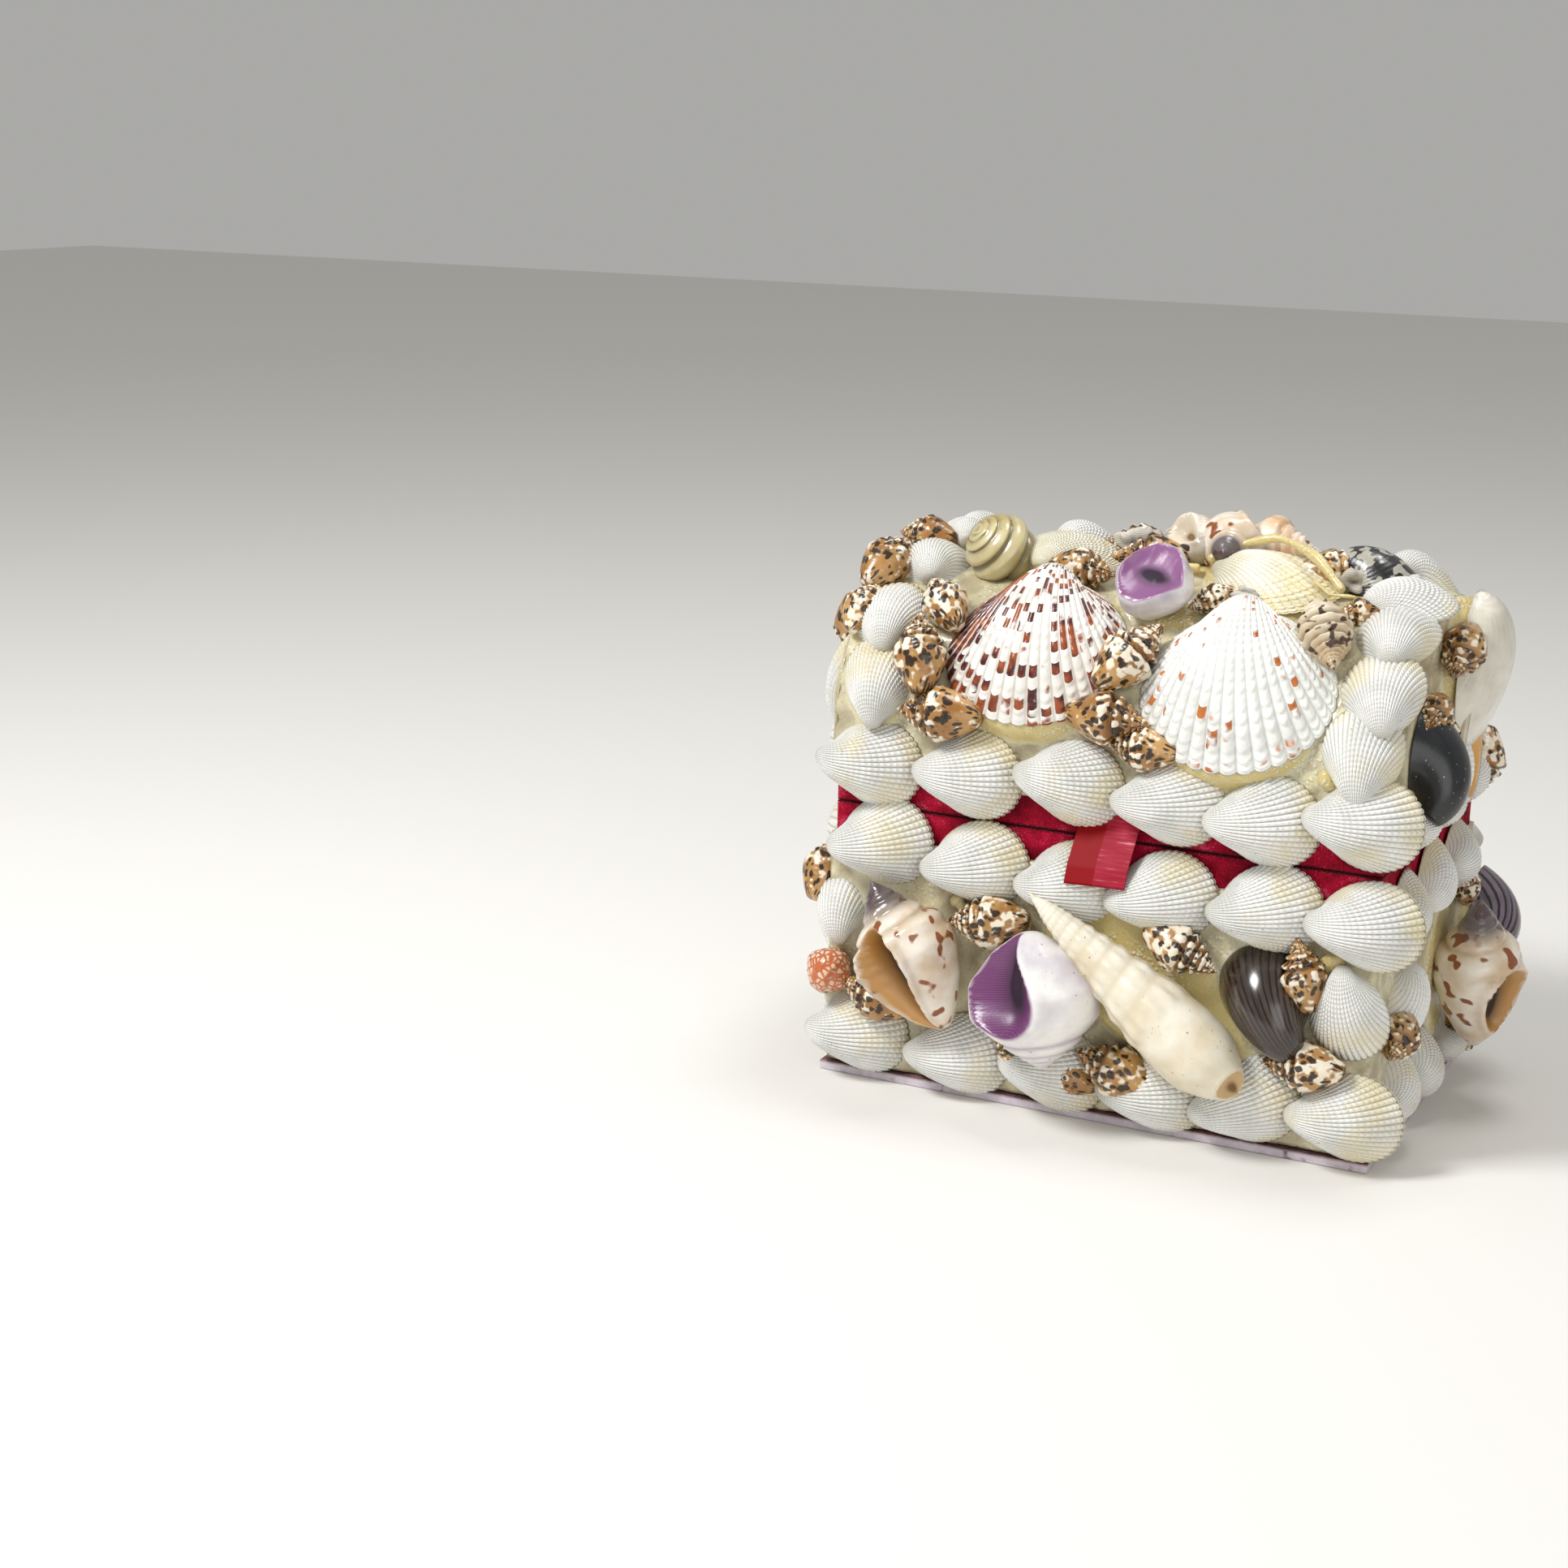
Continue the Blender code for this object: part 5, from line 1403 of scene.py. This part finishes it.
@dataclass
class ShellBed:
    """The glue of one face and the small shells that are set in it.

    Cockles are rows of across, up and turn, doves of across, up, share of a dove's length
    and turn. The glue is a height over the face: a thin film, raised to each shell's
    underside within its outline and falling off outside it, with slow lumps. It starts a
    foot over the face's lower edge and stands out round the corners of the box. It laps
    the outlines, climbs to shells that lie within reach, and leaves a rim on them. Its
    lumps are widths and heights.
    """

    node: str
    face: Face
    cockles: tuple = ()
    cockle_valve: Valve = HIDDEN_COCKLE_VALVE
    rim_cockles: tuple = ()
    doves: tuple = ()
    back_half: bool = False
    film: float = BED_TOP
    corner: float = 1.1 * MM
    foot: float = 3.1 * MM
    lap: float = 5 * MM
    climb: float = 7 * MM
    reach: float = 12 * MM
    rim: float = 0.35 * MM
    lumps: tuple = ((4 * MM, 0.5 * MM), (1.7 * MM, 0.25 * MM))
    grid: tuple[int, int] = (100, 56)

    def base_points(self) -> tuple[Array, Array]:
        """Points of the bare face on a grid, and the way out at each.

        Returns:
            Two arrays of rows, columns and 3 coordinates.
        """
        cols, rows = self.grid
        across = np.linspace(-1, 1, cols)[None]
        half, distance, low, height = self.face.value[2:]
        if self.face is Face.VAULT:
            rim_rows = rows // 5
            foot = np.linspace(SEAM_HEIGHT + BARE_SEAM, SPRING_HEIGHT, rim_rows, endpoint=False)
            angle = np.linspace(0, math.pi / 2, rows - rim_rows)
            y = np.concatenate([np.full(rim_rows, -BOX_DEPTH / 2), -BOX_DEPTH / 2 * np.cos(angle)])
            z = np.concatenate([foot, SPRING_HEIGHT + LID_RISE * np.sin(angle)])
            ny = np.concatenate([np.full(rim_rows, -1.0), -np.cos(angle) / (BOX_DEPTH / 2)])
            nz = np.concatenate([np.zeros(rim_rows), np.sin(angle) / LID_RISE])
            norm = np.hypot(ny, nz)
            sign = -1 if self.back_half else 1
            points = grid_points(across * (half + self.corner), sign * y[:, None], z[:, None])
            return points, grid_points(0 * across, sign * (ny / norm)[:, None], (nz / norm)[:, None])
        rise = np.linspace(0, 1, rows)[:, None]
        if self.face in (Face.GABLE_LEFT, Face.GABLE_RIGHT):
            bottom = SEAM_HEIGHT + BARE_SEAM
            top = SPRING_HEIGHT + LID_RISE * np.sqrt(np.clip(1 - across**2, 0, 1)) + self.corner
            level = bottom + rise * (top - bottom)
        else:
            bottom = low + self.foot
            level = bottom + rise * (low + height - BARE_SEAM - bottom)
        flat = self.face.across_way * (across[..., None] * (half + self.corner)) + self.face.out_way * distance
        points = np.broadcast_to(flat, (rows, cols, 3)).copy()
        points[..., 2] = level
        return points, np.broadcast_to(self.face.out_way, points.shape)

    def glue(self, shells: list[tuple[Array, float, float]]) -> Skin:
        """The glue as a closed slab over the face.

        Args:
            shells: frame, length and breadth of each shell that lies on this face.

        Returns:
            The closed surface.
        """
        points, ways = self.base_points()
        rows, cols = points.shape[:2]
        flat = points.reshape(-1, 3)
        (slow, high), (quick, low) = self.lumps
        lumps = ripple(flat, slow, len(self.node)) * high + ripple(flat, quick, 7) * low
        height = self.film + lumps.reshape(rows, cols)
        for frame, length, breadth in shells:
            local = (points - frame[:3, 3]) @ frame[:3, :3]
            far = np.hypot(local[..., 0] / (length / 2), local[..., 1] / (breadth / 2))
            inside = 1 - smooth_step(far, 0.82, 0.95 + self.lap / length)
            near = np.abs(local[..., 2]) < self.reach
            level = np.clip(-local[..., 2], 0, self.climb) + self.rim
            height = np.where(near, np.maximum(height, height + (level - height) * inside), height)
        from_edge = [np.minimum(np.arange(count), np.arange(count)[::-1]) for count in (rows, cols)]
        height = height * np.clip(0.75 + 0.25 * np.minimum(from_edge[0][:, None], from_edge[1][None]), 0, 1)
        top = points + ways * height[..., None]
        foot = points + ways * GAP
        # The thickness mark goes with the slab; the glue's material paints the thin film darker from it, as shade
        # between the shells.
        return self.slab(top, foot, np.clip((height - self.film) / (1.8 * MM), 0, 1))

    def slab(self, top: Array, foot: Array, fat: Array) -> Skin:
        """Close a height field: walls at its four edges and strips across its underside.

        Args:
            top: grid of the upper surface.
            foot: grid of the same places on the face.
            fat: grid of how thick the glue is, from 0 to 1.

        Returns:
            The closed surface.
        """
        rows, cols = top.shape[:2]
        index = np.arange(rows * cols).reshape(rows, cols)
        quads = [np.stack([index[:-1, :-1], index[:-1, 1:], index[1:, 1:], index[1:, :-1]], axis=-1).reshape(-1, 4)]
        ring = np.concatenate([index[0], index[1:, -1], index[-1, -2::-1], index[-2:0:-1, 0]])
        low_ring = rows * cols + np.arange(len(ring))
        quads.append(np.stack([ring, low_ring, np.roll(low_ring, -1), np.roll(ring, -1)], axis=-1))
        points = np.vstack([top.reshape(-1, 3), foot.reshape(-1, 3)[ring]])
        right = low_ring[cols - 1 : cols + rows - 1]
        left = np.concatenate([low_ring[:1], low_ring[2 * cols + rows - 3 :][::-1]])[:rows]
        quads.append(np.stack([left[:-1], left[1:], right[1:], right[:-1]], axis=-1))
        all_quads = np.vstack(quads)
        thick = np.concatenate([fat.ravel(), fat.ravel()[ring]])
        return Skin(points, all_quads, np.zeros((len(all_quads), 4, 2)), {"thick": thick}).outward()

    def build(self, singles: list[SingleShell]) -> None:
        """Build the glue and the small shells, and dress them.

        Args:
            singles: the shells that are pieces of their own.
        """
        valve = self.cockle_valve
        outlines, skins, doves = [], [], []
        for face, row in ((self.face, self.cockles), (Face.RIM_BACK, self.rim_cockles)):
            for number, (across, up, turn) in enumerate(row):
                frame = Place(face, across, up, turn).matrix()
                outlines.append((frame, valve.length, valve.length * valve.breadth))
                skins.append(valve.skin((0.31 * number) % 1).placed(frame))
        if skins:
            self.add("white_cockles", Slot.WHITE, joined(skins), WHITE_COCKLE)
        for number, (across, up, share, turn) in enumerate(self.doves):
            frame = Place(self.face, across, up, turn).matrix()
            hue = (0.21 + 0.37 * number) % 1
            snail = replace(DOVE_SNAIL, length=share * DOVE)
            doves.append(snail.skin(hue).placed(frame))
            outlines.append((frame, snail.length, snail.length * SNAIL_BREADTH))
        self.add("dove_snails", Slot.GLUE, joined(doves), DOVE_SPECKLED)
        for shell in singles:
            frame = shell.place.matrix()
            if frame[:3, 2] @ self.mean_way() > 0.3:
                breadth = getattr(shell.shape, "breadth", SNAIL_BREADTH)
                outlines.append((frame, shell.shape.length, shell.shape.length * breadth))
        self.add("glue_bed", Slot.GLUE, self.glue(outlines), CRAFT_GLUE)

    def mean_way(self) -> Array:
        """The way out in the middle of the face."""
        way = self.base_points()[1].mean(axis=(0, 1))
        return way / np.linalg.norm(way)

    def add(self, kind: str, slot: Slot, skin: Skin, finish: ShellFinish | GlueFinish) -> None:
        """Put one of the bed's surfaces into the scene in place of its node."""
        add_piece(f"{self.node}_{kind}", self.node, skin, finish.build())


def shell_beds() -> list[ShellBed]:
    """The beds of all faces with the places of their small shells."""
    return [
        ShellBed(
            "base_front_shells",
            Face.BASE_FRONT,
            cockles=((-97, 61, 96),),
            cockle_valve=replace(END_COCKLE_VALVE, length=0.72 * SMALL_COCKLE),
            doves=(
                (-79, 33, 1.05, -16), (-36, 67, 1.15, 9), (35, 68, 1.05, 155), (78, 66, 0.95, -76),
                (-25, 22, 0.8, -38), (-4, 16, 0.8, -13), (14, 22, 1.15, -17), (80, 35, 1.05, 2),
            ),
            grid=(150, 72),
        ),
        ShellBed(
            "lid_front_shells",
            Face.VAULT,
            doves=(
                (-58, 9, 1.15, 1), (-69, 27, 1.15, -75), (-67, 46, 1.0, -51), (-96, 61, 1.1, -100),
                (-97, 42, 0.85, -100), (-93, 84, 0.9, -10), (-24, 68, 0.95, 172), (7, 34, 1.15, -123),
                (4, 14, 1.1, 177), (17, 6, 0.9, -1),
                (27, 61, 0.7, 40), (77, 63, 0.6, 20), (62, 84, 1.0, 200), (-5, 82, 1.0, 15),
            ),
            grid=(150, 80),
        ),
        ShellBed(
            "base_right_shells",
            Face.BASE_RIGHT,
            cockles=((-62, 83, 8), (-8, 86, 20), (50, 84, 0), (-60, 47, -100), (-55, 20, 10), (0, 16, 5), (60, 17, 0)),
            cockle_valve=END_COCKLE_VALVE,
            doves=((-85, 44, 0.9, 20), (58, 73, 0.7, -60), (60, 18, 1.0, 150)),
        ),
        ShellBed(
            "lid_right_shells",
            Face.GABLE_RIGHT,
            cockles=((-55, 18, 0), (0, 17, 5), (55, 18, 0), (5, 34, 70)),
            cockle_valve=END_COCKLE_VALVE,
            doves=((-60, 62, 0.8, 20), (-52, 52, 0.9, 0), (60, 22, 1.0, 60), (-15, 82, 1.0, 30)),
        ),
        ShellBed(
            "base_left_shells",
            Face.BASE_LEFT,
            cockles=even_row(3, 84, 3, 66) + ((70, 50, -95), (-14, 50, 4)) + even_row(3, 18, 3, 66),
            doves=((88, 72, 1.0, -40), (45, 50, 1.0, -85), (86, 30, 0.75, 170), (-20, 52, 1.0, 40)),
        ),
        ShellBed(
            "base_back_shells",
            Face.BASE_BACK,
            cockles=even_row(5, 83, 3, 82) + even_row(4, 50, 183, 62) + even_row(5, 17, 3, 82),
            doves=((-88, 50, 1.0, 70), (0, 50, 1.0, 110), (88, 51, 1.0, 80)),
        ),
        ShellBed(
            "lid_left_shells",
            Face.GABLE_LEFT,
            cockles=even_row(3, 20, 3, 66) + ((66, 52, 92), (-36, 54, 95)),
            doves=((55, 70, 1.0, 70), (-20, 76, 1.0, 160), (-60, 40, 1.0, 80)),
        ),
        ShellBed(
            "lid_back_shells",
            Face.VAULT,
            cockles=even_row(5, 112, 84, 82) + even_row(5, 150, 84, 82),
            rim_cockles=even_row(5, 62, 3, 82),
            doves=(
                (-62, 131, 1.0, 10), (-20, 131, 1.0, 170), (17, 131, 1.0, 15), (62, 131, 1.0, 160), (-18, 101, 1.0, 10),
            ),
            back_half=True,
        ),
    ]


@dataclass
class Ribbon:
    """The doubled ribbon that hangs from the lid over the seam, held by a strip of tape.

    The strip runs down from the lid's rim to a fold and back up behind itself.
    """

    width: float = 17 * MM
    flat_length: float = 40 * MM
    across: float = 0.05 * BOX_WIDTH / 2
    above: float = 8 * MM
    below: float = 11 * MM
    stand_off: float = 10.2 * MM
    back_gap: float = 0.5 * MM
    cols: int = 14
    rows: int = 60

    def skin(self) -> Skin:
        """The ribbon's surface: a path of two runs and a tight fold, carried across its width."""
        wall = -BOX_DEPTH / 2 - SEAT
        down = np.array([
            (wall - 0.2 * MM, SEAM_HEIGHT + self.above - 1 * MM),
            (wall - 0.3 * MM, SEAM_HEIGHT + self.above / 2),
            (wall - self.stand_off * 0.35, SEAM_HEIGHT),
            (wall - self.stand_off * 0.8, SEAM_HEIGHT - self.below / 2),
            (wall - self.stand_off, SEAM_HEIGHT - self.below + 0.6 * MM),
        ])
        up = down[::-1] + [self.back_gap, 0.1 * MM]
        path = np.vstack([down, up])
        steps = np.concatenate([[0], np.cumsum(np.hypot(*np.diff(path, axis=0).T))])
        run = np.linspace(0, steps[-1], self.rows)
        y = np.interp(run, steps, path[:, 0])
        z = np.interp(run, steps, path[:, 1])
        share = np.linspace(0, 1, self.cols)
        x = self.across + (share - 0.5) * self.width
        tilt = (share - 0.5)[None] * 0.5 * MM
        points = grid_points(x[None], y[:, None], z[:, None] + tilt)
        index = np.arange(self.rows * self.cols).reshape(self.rows, self.cols)
        quads = np.stack([index[:-1, :-1], index[1:, :-1], index[1:, 1:], index[:-1, 1:]], axis=-1).reshape(-1, 4)
        v = run / steps[-1]
        grid_uv = np.stack(np.broadcast_arrays(share[None], v[:, None]), axis=-1).reshape(-1, 2)
        return Skin(points.reshape(-1, 3), quads, grid_uv[quads], {})

    def build(self) -> None:
        piece = add_piece("ribbon_tab_satin", "ribbon_tab", self.skin(), RibbonFinish().build())


@dataclass
class Carcass:
    """The cloth-covered box and lid and the card under them, kept from the solids."""

    nodes: dict[str, bpy.types.Object]

    def dress(self) -> None:
        """Give the three solids their own materials."""
        velvet = VelvetFinish().build()
        card = CardFinish().build()
        for name, material in (("base_box", velvet), ("lid", velvet), ("bottom_board", card)):
            node = self.nodes[name]
            for slot in node.material_slots:
                slot.link = "OBJECT"
                slot.material = material
            LOG.info("%s dressed", name)


@dataclass
class Studio:
    """Floor, soft light and camera. A lamp has a name, a place, a size and a power."""

    camera_turn: float = math.radians(26.52)
    camera_rise: float = math.radians(14.45)
    camera_roll: float = math.radians(1.1)
    camera_distance: float = 0.81391
    target: tuple[float, float, float] = (-0.12003, 0.0, 0.06747)
    lens: float = 60.93
    floor_corners: tuple = ((-1, -1), (1, -1), (1, 1), (-1, 1))
    floor_reach: float = 3.0
    floor_level: float = -0.2 * MM
    room_light: float = 0.45
    lamps: tuple = (
        ("window", (-0.5, -0.6, 0.95), 0.3, 10.3),
        ("fill", (0.8, -0.9, 0.4), 0.8, 3.0),
        ("top", (0.15, 0.2, 1.2), 0.4, 4.0),
    )
    lit: tuple[float, float, float] = (0, 0, 0.07)

    def build(self) -> None:
        """Make the floor, the lamps, the pale surround and the camera."""
        mesh = bpy.data.meshes.new("floor")
        corners = [(x * self.floor_reach, y * self.floor_reach, self.floor_level) for x, y in self.floor_corners]
        mesh.from_pydata(corners, [], [(0, 1, 2, 3)])
        mesh.materials.append(Tree("floor_paper_matt_pale").done({"Base Color": linear("#E8E6E2"), "Roughness": 0.8}))
        floor = bpy.data.objects.new("floor", mesh)
        bpy.context.scene.collection.objects.link(floor)
        world = bpy.data.worlds.new("pale_room")
        world.use_nodes = True
        background = world.node_tree.nodes["Background"].inputs
        background["Color"].default_value = linear("#F3F2EF")
        background["Strength"].default_value = self.room_light
        bpy.context.scene.world = world
        bpy.context.scene.view_settings.view_transform = "Standard"
        for name, place, size, power in self.lamps:
            lamp = bpy.data.lights.new(name, "AREA")
            lamp.size = size
            lamp.energy = power
            holder = bpy.data.objects.new(name, lamp)
            holder.location = place
            holder.rotation_euler = (Vector(self.lit) - Vector(place)).to_track_quat("-Z", "Y").to_euler()
            bpy.context.scene.collection.objects.link(holder)
        self.camera()

    def camera(self) -> None:
        """Place the camera on a line back from its target, level but for its small roll."""
        turn, rise = self.camera_turn, self.camera_rise
        back = Vector((math.sin(turn) * math.cos(rise), -math.cos(turn) * math.cos(rise), math.sin(rise)))
        right = Vector((math.cos(turn), math.sin(turn), 0))
        frame = Matrix((right, back.cross(right), back)).transposed().to_4x4()
        frame.translation = Vector(self.target) + back * self.camera_distance
        data = bpy.data.cameras.new("camera")
        data.lens = self.lens
        data.sensor_width = 36
        camera = bpy.data.objects.new("camera", data)
        camera.matrix_world = frame @ Matrix.Rotation(self.camera_roll, 4, "Z")
        bpy.context.scene.collection.objects.link(camera)
        bpy.context.scene.camera = camera


def main() -> None:
    """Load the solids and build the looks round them."""
    logging.basicConfig(level=logging.INFO, format="%(message)s")
    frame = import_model()
    Studio().build()
    Carcass(frame["nodes"]).dress()
    singles = SingleShells()
    singles.build()
    for bed in shell_beds():
        bed.build(singles.made)
    Crumbs().build()
    Ribbon().build()


if __name__ == "__main__":
    main()
